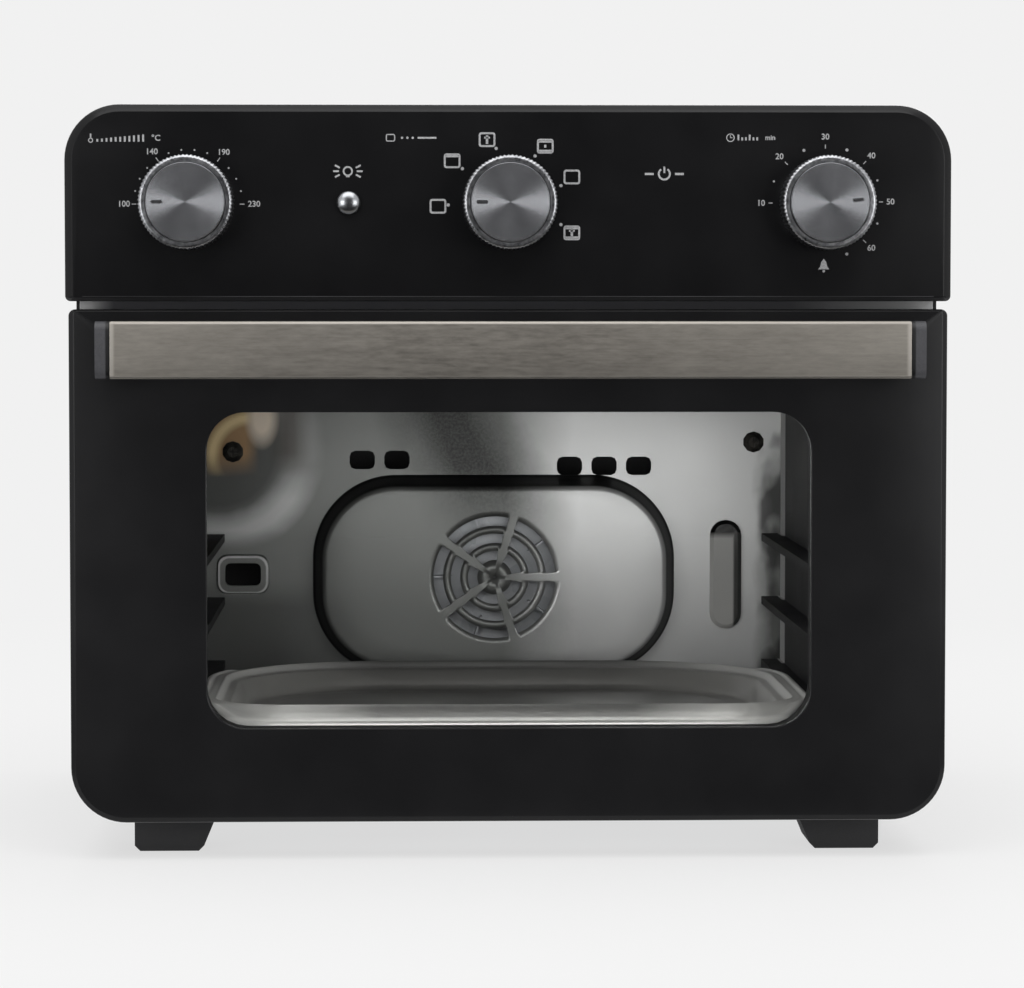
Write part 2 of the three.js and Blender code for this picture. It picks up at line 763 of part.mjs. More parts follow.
// The fan cover: a shallow pan with rounded sides in front of the impeller, with rings of air slots
function fanCover() {
  const middle = [0, cavityBottom + (cover.bottom + cover.top) / 2];
  const height = cover.top - cover.bottom;
  const ring = (inset) =>
    roundedLoop(coverWidth - inset * 2, height - inset * 2, cover.corner - inset, 5, middle);
  const skin = loftForward(
    [ring(0), ring(cover.draft / 2), ring(cover.draft), ring(cover.draft + cover.lip / 2)],
    [0, cover.reach / 2, cover.reach - sheet, cover.reach],
    cavityRear - fit,
  );
  const hollow = loftForward(
    [ring(sheet), ring(cover.draft / 2 + sheet), ring(cover.draft + sheet), ring(cover.draft + cover.lip / 2 + sheet)],
    [-overrun, cover.reach / 2, cover.reach - sheet * 2, cover.reach - sheet],
    cavityRear - fit,
  );
  const front = cavityRear - fit - cover.reach;
  const slots = [];
  for (let k = 0; k < grille.rings; k++) {
    const r0 = grille.first + k * grille.pitch;
    const r1 = r0 + grille.width;
    for (let i = 0; i < grille.spokes; i++) {
      const step = (Math.PI * 2) / grille.spokes;
      const start = i * step + grille.rib / 2 / r0;
      const end = (i + 1) * step - grille.rib / 2 / r0;
      const slot = new THREE.Shape();
      slot.absarc(...middle, r1, start, end, false);
      slot.absarc(...middle, r0, end, start, true);
      slots.push(plateY(slot, front - overrun, front + sheet + overrun, 1 + k));
    }
  }
  return cut(skin, hollow, ...slots);
}

const wallScrewHeight = (side) => cavityBottom + wallScrew.rise + (side > 0 ? wallScrew.rightLift : 0);

// A dome-headed screw in the rear wall, with a cross recess
function wallScrewSolid(side) {
  const x = side * (cavityWidth / 2 - wallScrew.inset);
  const z = wallScrewHeight(side);
  const profile = [
    new THREE.Vector2(0, -wallScrew.length),
    new THREE.Vector2(wallScrew.shank, -wallScrew.length),
    new THREE.Vector2(wallScrew.shank, fit),
    new THREE.Vector2(wallScrew.radius, fit),
    new THREE.Vector2(wallScrew.radius, wallScrew.dome / 3),
    new THREE.Vector2(wallScrew.radius / 2, wallScrew.dome),
    new THREE.Vector2(0, wallScrew.dome),
  ];
  const turned = new THREE.LatheGeometry(profile, 10).rotateX(Math.PI).translate(x, cavityRear, z);
  const reach = wallScrew.radius / 2;
  const top = cavityRear - wallScrew.dome;
  const across = (w, h) => block(x - w, x + w, top - overrun, top + wallScrew.crossDepth, z - h, z + h);
  return cut(turned, across(reach, wallScrew.cross / 2), across(wallScrew.cross / 2, reach));
}

// Fan, lamp and motor

const fanHeight = cavityBottom + (cover.bottom + cover.top) / 2;
const fan = { radius: 42, disc: 1, depth: 10, blades: 10, bladeInner: 22, blade: 1, hub: 6, clearance: 3.5 };
const fanShaft = { radius: 2.5 };

const impellerRear = cavityRear - fan.clearance;
const motorFront = cavityRear + sheet + motor.standoff;
const motorRear = cavityRear + motorBack;

// The impeller: a disc with radial blades on its front face
function impeller() {
  const disc = rodY(fan.radius, impellerRear - fan.disc, impellerRear, 0, fanHeight, 20);
  const hub = rodY(fan.hub, impellerRear - fan.depth, impellerRear, 0, fanHeight, 16);
  const blades = Array.from({ length: fan.blades }, (_, i) =>
    block(
      fan.bladeInner,
      fan.radius,
      -fan.depth,
      -fan.disc / 2,
      -fan.blade / 2,
      fan.blade / 2,
    )
      .rotateY((i * Math.PI * 2) / fan.blades)
      .translate(0, impellerRear, fanHeight),
  );
  const bore = rodY(fanShaft.radius + fit, impellerRear - fan.depth - overrun, impellerRear + overrun, 0, fanHeight, 12);
  return cut(join(disc, hub, ...blades), bore);
}

// The small fan behind the motor, with pitched blades
function coolingFan() {
  const middle = motorRear + motor.standoff / 2 + cooler.depth / 2;
  const hub = rodY(cooler.hub, middle - cooler.depth / 2, middle + cooler.depth / 2, 0, fanHeight, 16);
  const blades = Array.from({ length: cooler.blades }, (_, i) =>
    block(
      cooler.hub / 2,
      cooler.radius,
      -cooler.blade / 2,
      cooler.blade / 2,
      -cooler.depth / 2,
      cooler.depth / 2,
    )
      .rotateX(THREE.MathUtils.degToRad(cooler.tilt))
      .rotateY((i * Math.PI * 2) / cooler.blades)
      .translate(0, middle, fanHeight),
  );
  const bore = rodY(fanShaft.radius + fit, middle - cooler.depth, middle + cooler.depth, 0, fanHeight, 12);
  return cut(join(hub, ...blades), bore);
}

// The fan's shaft, with the rotor turned on it
function fanShaftSolid() {
  const front = impellerRear - fan.depth + sheet;
  const back = cavityRear + fanBack;
  const rod = rodY(fanShaft.radius, front, back, 0, fanHeight, 12);
  return join(rod, rodY(motor.rotor, motorFront + fit, motorRear - fit, 0, fanHeight, 20));
}

// The motor's stator: a laminated frame with a winding on one side
function fanMotor() {
  const half = motor.size / 2;
  const shape = roundedShape(-half, half, fanHeight - half, fanHeight + half, motor.corner);
  shape.holes.push(roundHole(0, fanHeight, motor.rotor + motor.gap));
  const stack = plateY(shape, motorFront, motorRear, 5);
  const coil = block(
    -half / 2,
    half / 2,
    motorFront - motor.standoff / 2,
    motorRear + motor.standoff / 4,
    fanHeight + motor.rotor + motor.gap * 3,
    fanHeight + half - motor.corner,
  );
  return join(stack, coil);
}

const strap = { width: 22, length: 92 };

// The bracket that carries the motor: a hat-shaped strap on the back of the rear wall
function motorBracket() {
  const near = cavityRear + sheet + fit;
  const half = strap.length / 2;
  const out = motor.size / 2 + fit * 2;
  const far = motorRear + fit;
  const profile = outline([
    [-half, near],
    [-out, near],
    [-out, far],
    [out, far],
    [out, near],
    [half, near],
    [half, near + sheet],
    [out + sheet, near + sheet],
    [out + sheet, far + sheet],
    [-out - sheet, far + sheet],
    [-out - sheet, near + sheet],
    [-half, near + sheet],
  ]);
  const strip = plateZ(profile, fanHeight - strap.width / 2, fanHeight + strap.width / 2);
  return cut(strip, rodY(motor.bore, near, far + overrun, 0, fanHeight, 16));
}

// The lamp's glass window in the rear wall, domed and long
function lampLens() {
  const centre = [lampX, cavityBottom + lamp.middle];
  const ring = (inset) =>
    roundedLoop(lamp.width - inset * 2, lamp.height - inset * 2, lamp.width / 2 - inset - fit, 5, centre);
  return loftForward(
    [ring(0), ring(0), ring(lamp.reach / 2)],
    [fit, lamp.reach / 2, lamp.reach],
    cavityRear,
  );
}

// The lamp's capsule bulb and the holder that carries it behind the rear wall
function lampBulb() {
  const y = cavityRear + machineDepth / 2 - lamp.base / 2;
  const z = cavityBottom + lamp.middle;
  const profile = [
    [0, 0],
    [lamp.bulb / 2, 0],
    [lamp.bulb, lamp.bulb],
    [lamp.bulb, lamp.bulb * 3],
    [lamp.bulb / 2, lamp.bulb * 4],
    [0, lamp.bulb * 4],
  ].map(([r, h]) => new THREE.Vector2(r, h));
  return new THREE.LatheGeometry(profile, 12).rotateX(Math.PI / 2).translate(lampX, y, z - lamp.height / 4);
}

function lampHolder() {
  const y = cavityRear + machineDepth / 2 - lamp.base / 2;
  const top = cavityBottom + lamp.middle - lamp.height / 4 - fit;
  const cup = rodZ(lamp.base / 2 + sheet, top - lamp.base, top, lampX, y, 16);
  const ear = block(
    lampX - lamp.base / 2,
    lampX + lamp.base / 2,
    cavityRear + sheet + fit,
    y,
    top - lamp.base,
    top - lamp.base + sheet * 2,
  );
  return join(cup, ear);
}

// Controls

const switchBody = {
  temperature: { width: 42, height: 34, depth: 26 },
  function: { width: 40, height: 40, depth: 30 },
  timer: { width: 52, height: 52, depth: 38 },
};
const bush = { radius: 4.6, reach: 6 };

// The body of a control behind the front frame: a moulded case with a threaded bush round the shaft
function controlBody(x, size) {
  const front = frameBack + fit;
  const centre = [x, knobHeight];
  const ring = (inset) => roundedLoop(size.width - inset * 2, size.height - inset * 2, sheet * 3, 2, centre);
  const caseSolid = loftBack([ring(0), ring(0), ring(sheet)], [0, size.depth - sheet, size.depth], front);
  const collar = rodY(bush.radius, front - bush.reach, front + sheet, x, knobHeight, 12);
  const bore = rodY(shaft.radius + fit * 2, front - bush.reach - overrun, front + size.depth / 2, x, knobHeight, 12);
  return cut(join(caseSolid, collar), bore);
}

// A knob's shaft, from inside the control to inside the knob, with a flat at its front end
function knobShaft(x) {
  const back = frameBack + shaft.length / 3;
  const front = doorFront - knob.height + knob.crown * 2;
  const rod = rodY(shaft.radius, front, back, 0, 0, 12);
  const flat = block(-shaft.radius, shaft.radius, front - overrun, doorFront, shaft.radius - shaft.flat, shaft.radius * 2);
  return cut(rod, flat).translate(x, 0, knobHeight);
}

const cap = { radius: 17.2, thickness: 1, seat: 0.7, mark: 4.6, markWidth: 0.9, markFrom: 11, markDepth: 0.4 };

// A knob: a fluted barrel with a crowned front edge, hollow behind, with a boss for its shaft
function knobBarrel(x) {
  const back = doorFront - knob.stand;
  const loops = [
    flutedLoop(knob.radius, knob.flutes, knob.fluteDepth, 2),
    flutedLoop(knob.radius, knob.flutes, knob.fluteDepth, 2),
    flutedLoop(knob.radius - knob.crown, knob.flutes, knob.fluteDepth / 3, 2),
  ];
  const barrel = loftForward(loops, [0, knob.height - knob.crown, knob.height], back);
  const front = back - knob.height;
  const seat = rodY(cap.radius + fit, front - overrun, front + cap.seat, 0, 0, 24);
  const pocket = cut(
    rodY(knob.radius - knob.crown * 2, front + knob.crown * 3, back + overrun, 0, 0, 12),
    rodY(shaft.boss, front, back + overrun * 2, 0, 0, 8),
  );
  const bore = rodY(shaft.radius + fit, doorFront - knob.height + knob.crown * 2 - fit, back + overrun, 0, 0, 8);
  return cut(barrel, seat, pocket, bore).translate(x, 0, knobHeight);
}

// The turned metal disc on a knob, with a short mark pressed in near its edge
function knobCap(x, markAngle) {
  const seat = doorFront - knob.stand - knob.height + cap.seat - fit;
  const disc = rodY(cap.radius, seat - cap.thickness, seat, 0, 0, 24);
  const angle = THREE.MathUtils.degToRad(markAngle);
  const mark = block(
    cap.markFrom,
    cap.markFrom + cap.mark,
    seat - cap.thickness - overrun,
    seat - cap.thickness + cap.markDepth,
    -cap.markWidth / 2,
    cap.markWidth / 2,
  ).rotateY(-angle);
  return cut(disc, mark).translate(x, 0, knobHeight);
}

// The lamp button: a domed chrome cap on a stem, held by a flange behind the fascia
function lampButton() {
  const profile = [
    [0, -button.length],
    [button.radius / 2, -button.length],
    [button.radius / 2, -fascia.wall - button.flangeDepth - button.travel],
    [button.flange, -fascia.wall - button.flangeDepth - fit],
    [button.flange, -fascia.wall - fit],
    [button.radius, -fascia.wall - fit],
    [button.radius, button.proud - button.radius / 3],
    [(button.radius * 3) / 4, button.proud - button.radius / 12],
    [button.radius / 3, button.proud],
    [0, button.proud],
  ].map(([r, h]) => new THREE.Vector2(r, h));
  return new THREE.LatheGeometry(profile, 16)
    .rotateX(Math.PI)
    .translate(buttonX, doorFront, knobHeight);
}

const lightSwitch = { size: 16, clearance: 3.2 };

// The push switch behind the lamp button, standing on the front frame
function lightSwitchBody() {
  const front = doorFront + button.length + lightSwitch.clearance;
  const half = lightSwitch.size / 2;
  return block(
    buttonX - half,
    buttonX + half,
    front,
    frameFront - fit,
    knobHeight - half,
    knobHeight + half,
  );
}

const pilotX = knobPlaces[2] / 2;
const pilot = { rise: 4, radius: 3.2, length: 14, flange: 4.6 };

// The pilot lamp behind the fascia that shows the power is on
function pilotLamp() {
  const z = knobHeight + pilot.rise;
  const front = doorFront + fascia.wall + fit;
  return join(
    rodY(pilot.radius, front, front + pilot.length, pilotX, z, 14),
    rodY(pilot.flange, front + pilot.length - sheet, frameFront - fit, pilotX, z, 14),
  );
}

// Door

const ear = { thickness: 3, gap: 1.2, half: 6, clearance: 1 };

// Two small walls inside the door, one each side of a bracket or an arm, that hold its pin
function pinEars(side, across, between, y, z, half, hole) {
  return [-1, 1].map((hand) => {
    const inner = side * across + hand * (between / 2 + ear.gap);
    const xs = [inner, inner + hand * ear.thickness].sort((a, b) => a - b);
    const rearEdge = doorRim - pan.flange - ear.clearance;
    const wall = block(...xs, doorFront + door.wall / 2, rearEdge, z - half, z + half);
    return cut(wall, rodX(hole, xs[0] - overrun, xs[1] + overrun, y, z, 8));
  });
}

// The door's outer frame: a deep moulded panel with a window, hollow at the back
function doorFrame() {
  const centre = [0, footHeight + door.height / 2];
  const ring = (inset) =>
    roundedLoop(
      doorWidth - inset * 2,
      door.height - inset * 2,
      door.corner - inset,
      5,
      centre,
      Math.max(door.topCorner - inset, fit),
    );
  const skin = loftForward(
    [ring(0), ring(0), ring(door.edge / 3), ring(door.edge)],
    [0, door.depth - door.bevel, door.depth - door.bevel / 3, door.depth],
    doorRim,
  );
  const pocket = loftForward(
    [ring(door.wall), ring(door.wall)],
    [-overrun, door.depth - door.wall],
    doorRim,
  );
  const half = windowWidth / 2;
  const opening = plateY(
    roundedShape(-half, half, windowBottom, windowTop, window.corner),
    doorFront - overrun,
    doorFront + door.wall + overrun,
    4,
  );
  const notches = [-1, 1].map((side) => {
    const x = side * hingeAcross;
    const reach = bracket.thickness / 2 + ear.gap;
    return block(
      x - reach,
      x + reach,
      hingeDepth - bracket.half - fit * 2,
      doorRim + overrun,
      footHeight - overrun,
      footHeight + door.wall + overrun,
    );
  });
  const hollow = cut(skin, pocket, opening, ...notches);
  const ears = [-1, 1].flatMap((side) => [
    ...pinEars(
      side,
      hingeAcross,
      bracket.thickness,
      hingeDepth,
      hingeHeight,
      ear.half,
      hinge.pin / 2 + fit * 2,
    ),
    ...pinEars(
      side,
      armAcross,
      arm.thickness,
      doorFront + arm.setback,
      footHeight + arm.rise,
      arm.eye + ear.gap,
      arm.pin + fit * 2,
    ),
  ]);
  const shaped = ears.map((wall) => common(wall, plateY(insideDoor(), doorFront, doorRim)));
  return join(hollow, ...shaped);
}

// The outline just inside the door's outer walls
function insideDoor() {
  const half = doorWidth / 2 - door.wall / 2;
  return roundedShape(
    -half,
    half,
    footHeight + door.wall / 2,
    doorTop - door.wall / 2,
    door.corner - door.wall / 2,
    door.topCorner / 2,
  );
}

const pane = { thickness: 3.2, margin: 9 };

// The pane of glass behind the door's window
function doorGlass() {
  const half = windowWidth / 2 + pane.margin;
  const front = doorFront + door.wall + fit;
  return plateY(
    roundedShape(
      -half,
      half,
      windowBottom - pane.margin,
      windowTop + pane.margin,
      window.corner + pane.margin / 2,
    ),
    front,
    front + pane.thickness,
  );
}

// The door's inner panel: a flange inside the frame, a raised pan, and a collar that holds the glass
function doorInnerPanel() {
  const gap = door.wall + fit;
  const centre = [0, footHeight + door.height / 2];
  const outer = (inset, corner) =>
    roundedLoop(doorWidth - inset * 2, door.height - inset * 2, corner, 3, centre, pan.corner);
  const flangeFront = doorRim - pan.flange;
  const flangePlate = loftForward(
    [0, 1].map(() =>
      roundedLoop(
        doorWidth - gap * 2,
        door.height - gap * 2,
        door.corner - gap,
        4,
        centre,
        door.topCorner / 2,
      ),
    ),
    [0, pan.flange],
    doorRim,
  );
  const pressing = (skinInset, front, depth) =>
    loftBack(
      [
        outer(pan.inset + skinInset, pan.corner),
        outer(pan.inset + skinInset, pan.corner),
        outer(pan.inset + pan.draft + skinInset, pan.corner),
      ],
      [front, pan.depth / 3, depth],
      doorRim,
    );
  const raised = pressing(0, -pan.flange / 2, pan.depth);
  const under = pressing(sheet, -pan.flange - overrun, pan.depth - sheet);
  const half = windowWidth / 2;
  const tube = (margin, y0, y1) =>
    plateY(
      roundedShape(
        -half - margin,
        half + margin,
        windowBottom - margin,
        windowTop + margin,
        window.corner + margin,
      ),
      y0,
      y1,
      3,
    );
  const glassBack = doorFront + door.wall + pane.thickness + fit * 2;
  const collar = cut(
    tube(sheet * 2, glassBack, doorBack - sheet / 2),
    tube(sheet, glassBack - overrun, doorBack + overrun),
  );
  const skin = cut(join(flangePlate, raised), under, tube(sheet, flangeFront - overrun, doorBack + overrun));
  return cut(join(skin, collar), ...panelCuts());
}

// Clearances in the inner panel for the hinge brackets, the arms and their ears
function panelCuts() {
  const cuts = [];
  for (const side of [-1, 1]) {
    const x = side * hingeAcross;
    const wide = bracket.thickness / 2 + ear.gap + ear.thickness + fit;
    cuts.push(
      block(
        x - wide,
        x + wide,
        doorFront + door.wall,
        doorBack + overrun,
        footHeight,
        hingeHeight + bracket.half + fit * 3,
      ),
    );
    const z = footHeight + arm.rise;
    const armX = side * armAcross;
    const armWide = arm.thickness / 2 + ear.gap;
    cuts.push(
      block(
        armX - armWide,
        armX + armWide,
        doorFront + door.wall,
        doorBack + overrun,
        z - arm.drop,
        z + arm.eye + fit * 2,
      ),
    );
  }
  return cuts;
}

// A hinge pin through a bracket's eye, held by the walls on both sides of it
function hingePin(side) {
  const reach = bracket.thickness / 2 + ear.gap + ear.thickness;
  const x = side * hingeAcross;
  return rodX(hinge.pin / 2, x - reach, x + reach, hingeDepth, hingeHeight, 16);
}

// A stay arm: a flat bar with an eye and a pin at the door, through a slot in the front frame,
// with a lug at its rear end that stops the door when it is fully open
function stayArm(side) {
  const y = doorFront + arm.setback;
  const z = footHeight + arm.rise;
  const [openY, openZ] = armPivot(doorOpening);
  const tilt = THREE.MathUtils.degToRad(doorOpening * (1 + armRatio));
  const lugAt = (frameBack - openY) / Math.cos(tilt) + arm.width * Math.tan(tilt) + fit * 4;
  const shape = new THREE.Shape();
  shape.moveTo(y, z - arm.width / 2);
  shape.lineTo(y + lugAt, z - arm.width / 2);
  shape.lineTo(y + lugAt + arm.lug / 2, z - arm.width / 2 - arm.lug);
  shape.lineTo(y + lugAt + arm.lug / 2 + arm.lugLength, z - arm.width / 2 - arm.lug);
  shape.lineTo(y + lugAt + arm.lug / 2 + arm.lugLength, z + arm.width / 2);
  shape.lineTo(y, z + arm.width / 2);
  shape.absarc(y, z, arm.width / 2, Math.PI / 2, Math.PI * 1.5, false);
  const x = side * armAcross;
  const flat = plateX(shape, x - arm.thickness / 2, x + arm.thickness / 2, 5);
  return join(flat, rodX(arm.pin, x - arm.pinReach, x + arm.pinReach, y, z, 12));
}

const handle = {
  inset: 14.75,
  height: 25.4,
  thickness: 12,
  corner: 4,
  cap: 6.3,
  wall: 2,
  drop: 5.2,
  plug: 10,
  foot: 22,
  footHeight: 20,
};
const handleLength = doorWidth - handle.inset * 2;
const handleMiddle = doorTop - handle.drop - handle.height / 2;

// The section of the handle's bar, in Y and Z
function handleSection(path, inset) {
  return roundedPath(
    path,
    handleFront + inset,
    handleFront + handle.thickness - inset,
    handleMiddle - handle.height / 2 + inset,
    handleMiddle + handle.height / 2 - inset,
    handle.corner - inset,
  );
}

// The handle's bar: a hollow drawn section between the two end caps
function handleBar() {
  const half = handleLength / 2 - handle.cap - fit;
  const shape = handleSection(new THREE.Shape(), 0);
  shape.holes.push(handleSection(new THREE.Path(), handle.wall));
  return plateX(shape, -half, half, 3);
}

// An end cap of the handle, with a plug inside the bar and a post that stands on the door
function handleCap(side) {
  const out = side * (handleLength / 2);
  const inner = out - side * handle.cap;
  const xs = [inner, out].sort((a, b) => a - b);
  const face = plateX(handleSection(new THREE.Shape(), 0), ...xs, 2);
  const plugEnd = inner - side * handle.plug;
  const plugXs = [plugEnd, inner + (side * handle.cap) / 2].sort((a, b) => a - b);
  const plug = plateX(handleSection(new THREE.Shape(), handle.wall + fit), ...plugXs, 1);
  const back = doorFront - fit;
  const post = outline([
    [handleFront + handle.thickness / 2, handleMiddle - handle.height / 2],
    [handleFront + handle.thickness / 2, handleMiddle + handle.height / 2],
    [handleFront + handle.thickness, handleMiddle + handle.height / 2],
    [back, handleMiddle + handle.footHeight / 2],
    [back, handleMiddle - handle.footHeight / 2],
    [handleFront + handle.thickness, handleMiddle - handle.height / 2],
  ].reverse());
  const postSolid = plateX(post, ...xs);
  const footXs = [out, out - side * handle.foot].sort((a, b) => a - b);
  const foot0 = block(
    ...footXs,
    back - handle.wall * 2,
    back,
    handleMiddle - handle.footHeight / 2,
    handleMiddle + handle.footHeight / 2,
  );
  return join(face, plug, postSolid, foot0);
}

// Tray

// The baking tray: a shallow pressed pan with large round corners, a stepped side and a rolled rim
function bakingTray() {
  const y = frameBack + tray.front + trayDepth / 2;
  const top = cavityBottom + tray.rim;
  const ring = (inset) =>
    roundedLoop(trayWidth - inset * 2, trayDepth - inset * 2, tray.corner - inset, 5, [0, y]);
  const floor = top - tray.height + tray.sheet;
  const shelfStart = tray.ledge + tray.run;
  const shelfEnd = shelfStart + tray.shelf;
  const inside = [
    [tray.ledge, top],
    [shelfStart, top - tray.step],
    [shelfEnd, top - tray.step],
    [shelfEnd + tray.slope / 2, floor + tray.run],
    [shelfEnd + tray.slope, floor],
  ];
  const under = inside.map(([inset, z]) => [inset - tray.sheet / 2, z - tray.sheet]).reverse();
  const rows = [
    ...under,
    [tray.sheet, top - tray.sheet],
    [tray.sheet, top - tray.edge],
    [0, top - tray.edge],
    [0, top - tray.sheet],
    [tray.sheet, top],
    ...inside,
  ];
  return loft(
    rows.map(([inset]) => ring(inset)),
    rows.map(([, z]) => z),
  );
}

// The tree of moving bodies: each group's pieces move together

const housing = new THREE.Group();
add(housing, "outer_shell", outerShell(), "blackPaint");
add(housing, "base_plate", basePlate(), "zinc");
add(housing, "rear_panel", rearPanel(), "blackPaint");
add(housing, "front_frame", frontFrame(), "blackPaint");
add(housing, "control_fascia", controlFascia(), "blackGloss");
add(housing, "cavity_liner", cavityLiner(), "enamel");
add(housing, "cavity_rear_wall", cavityRearWall(), "enamel");
add(housing, "fan_cover", fanCover(), "enamel");
add(housing, "door_seal", doorSeal(), "rubber");
add(housing, "upper_heating_element", heatingElement(element.upper), "heater");
add(housing, "lower_heating_element", heatingElement(element.lower), "heater");
add(housing, "fan_motor", fanMotor(), "copper");
add(housing, "motor_bracket", motorBracket(), "zinc");
add(housing, "lamp_lens", lampLens(), "glass");
add(housing, "lamp_bulb", lampBulb(), "glass");
add(housing, "lamp_holder", lampHolder(), "ceramic");
add(housing, "thermostat_body", controlBody(knobPlaces[0], switchBody.temperature), "ceramic");
add(housing, "function_switch_body", controlBody(knobPlaces[1], switchBody.function), "ceramic");
add(housing, "timer_body", controlBody(knobPlaces[2], switchBody.timer), "zinc");
add(housing, "light_switch_body", lightSwitchBody(), "ceramic");
add(housing, "pilot_lamp", pilotLamp(), "glass");
add(housing, "cord_gland", cordGland(), "rubber");
for (const [side, hand] of [
  [-1, "left"],
  [1, "right"],
]) {
  add(housing, "wall_screw_" + hand, wallScrewSolid(side), "zinc");
  add(housing, "hinge_bracket_" + hand, hingeBracket(side), "zinc");
  add(housing, "rear_spacer_" + hand, rearSpacer(side), "darkPlastic");
  add(housing, "foot_front_" + hand, footBlock(side, false), "rubber");
  add(housing, "foot_rear_" + hand, footBlock(side, true), "rubber");
}
group.add(housing);

const doorGroup = new THREE.Group();
add(doorGroup, "door_frame", doorFrame(), "blackGloss");
add(doorGroup, "door_glass", doorGlass(), "glass");
add(doorGroup, "door_inner_panel", doorInnerPanel(), "blackPaint");
add(doorGroup, "door_handle", handleBar(), "brushed");
for (const [side, hand] of [
  [-1, "left"],
  [1, "right"],
]) {
  add(doorGroup, "handle_cap_" + hand, handleCap(side), "capPlastic");
  add(doorGroup, "hinge_pin_" + hand, hingePin(side), "zinc");
  add(doorGroup, "stay_arm_" + hand, stayArm(side), "zinc");
}
group.add(doorGroup);

const controls = new THREE.Group();
[
  ["temperature", 180],
  ["function", 180],
  ["timer", 4],
].forEach(([name, markAngle], i) => {
  add(controls, name + "_knob", knobBarrel(knobPlaces[i]), "darkPlastic");
  add(controls, name + "_knob_cap", knobCap(knobPlaces[i], markAngle), "spun");
  add(controls, name + "_shaft", knobShaft(knobPlaces[i]), "zinc");
});
add(controls, "light_button", lampButton(), "steel");
group.add(controls);

const fanGroup = new THREE.Group();
add(fanGroup, "fan_impeller", impeller(), "zinc");
add(fanGroup, "fan_shaft", fanShaftSolid(), "steel");
add(fanGroup, "cooling_fan", coolingFan(), "zinc");
group.add(fanGroup);

add(group, "baking_tray", bakingTray(), "steel");

export default group;
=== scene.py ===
import json
import math

import bmesh
import bpy
import numpy as np
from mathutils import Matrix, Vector


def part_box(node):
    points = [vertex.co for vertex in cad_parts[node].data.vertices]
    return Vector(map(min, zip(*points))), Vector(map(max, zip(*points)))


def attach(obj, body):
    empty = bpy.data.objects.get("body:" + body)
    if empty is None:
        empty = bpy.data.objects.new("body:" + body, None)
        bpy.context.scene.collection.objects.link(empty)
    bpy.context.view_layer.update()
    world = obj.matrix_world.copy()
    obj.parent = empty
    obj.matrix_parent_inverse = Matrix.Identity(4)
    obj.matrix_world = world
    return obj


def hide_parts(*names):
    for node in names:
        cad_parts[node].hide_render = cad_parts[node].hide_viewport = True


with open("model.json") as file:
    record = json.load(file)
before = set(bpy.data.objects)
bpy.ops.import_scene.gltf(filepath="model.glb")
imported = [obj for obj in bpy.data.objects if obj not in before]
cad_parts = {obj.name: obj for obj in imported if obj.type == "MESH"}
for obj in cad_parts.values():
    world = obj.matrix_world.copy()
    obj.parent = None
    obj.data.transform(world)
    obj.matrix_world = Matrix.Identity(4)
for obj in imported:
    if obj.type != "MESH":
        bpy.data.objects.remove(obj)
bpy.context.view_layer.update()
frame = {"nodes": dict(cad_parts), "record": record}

mm = 0.001
scene = bpy.context.scene


# A colour as it is picked on a screen, 0 to 255, in the linear light that the shader wants
def paint(red, green, blue):
    part = np.array([red, green, blue]) / 255
    linear = np.where(part <= 0.04045, part / 12.92, ((part + 0.055) / 1.055) ** 2.4)
    return (*(float(v) for v in linear), 1.0)


def placed(name, data):  # a new object in the scene
    made = bpy.data.objects.new(name, data)
    scene.collection.objects.link(made)
    return made


# Shader maths: what an operator between a wire and a wire or number adds to the nodes
def maths(operation, turned=False):
    def work(self, other):
        return self.sum(operation, *((other, self) if turned else (self, other)))
    return work


class Wire:  # one output socket, so that shader sums read as sums
    def __init__(self, finish, socket):
        self.finish = finish
        self.socket = socket

    def sum(self, operation, *parts):
        return self.finish.node("Math", {"operation": operation}, dict(enumerate(parts)))

    __add__, __radd__ = maths("ADD"), maths("ADD", True)
    __sub__, __rsub__ = maths("SUBTRACT"), maths("SUBTRACT", True)
    __mul__, __rmul__ = maths("MULTIPLY"), maths("MULTIPLY", True)
    __truediv__, __pow__ = maths("DIVIDE"), maths("POWER")
    over = maths("GREATER_THAN")  # 1 where this is more than the other
    most = maths("MAXIMUM")  # the larger of the two

    def reach(self, other):  # the length of the two together
        return (self * self + other * other) ** 0.5

    def size(self):
        return self.sum("ABSOLUTE", self)

    def spread(self, fromLow, fromHigh, low=0.0, high=1.0):  # the first range laid on the second, and held inside it
        return self.finish.node(
            "MapRange",
            {"clamp": True},
            {"Value": self, "From Min": fromLow, "From Max": fromHigh, "To Min": low, "To Max": high},
        )


class Nodes:  # a node tree, and what adds nodes to it
    def __init__(self, tree):
        self.tree = tree

    def plug(self, socket, value):
        if isinstance(value, Wire):
            self.tree.links.new(value.socket, socket)
        else:
            socket.default_value = value

    def node(self, kind, settings=None, values=None, out=0):
        made = self.tree.nodes.new("ShaderNode" + kind)
        for key, value in (settings or {}).items():
            setattr(made, key, value)
        for key, value in (values or {}).items():
            self.plug(made.inputs[key], value)
        return Wire(self, made.outputs[out])


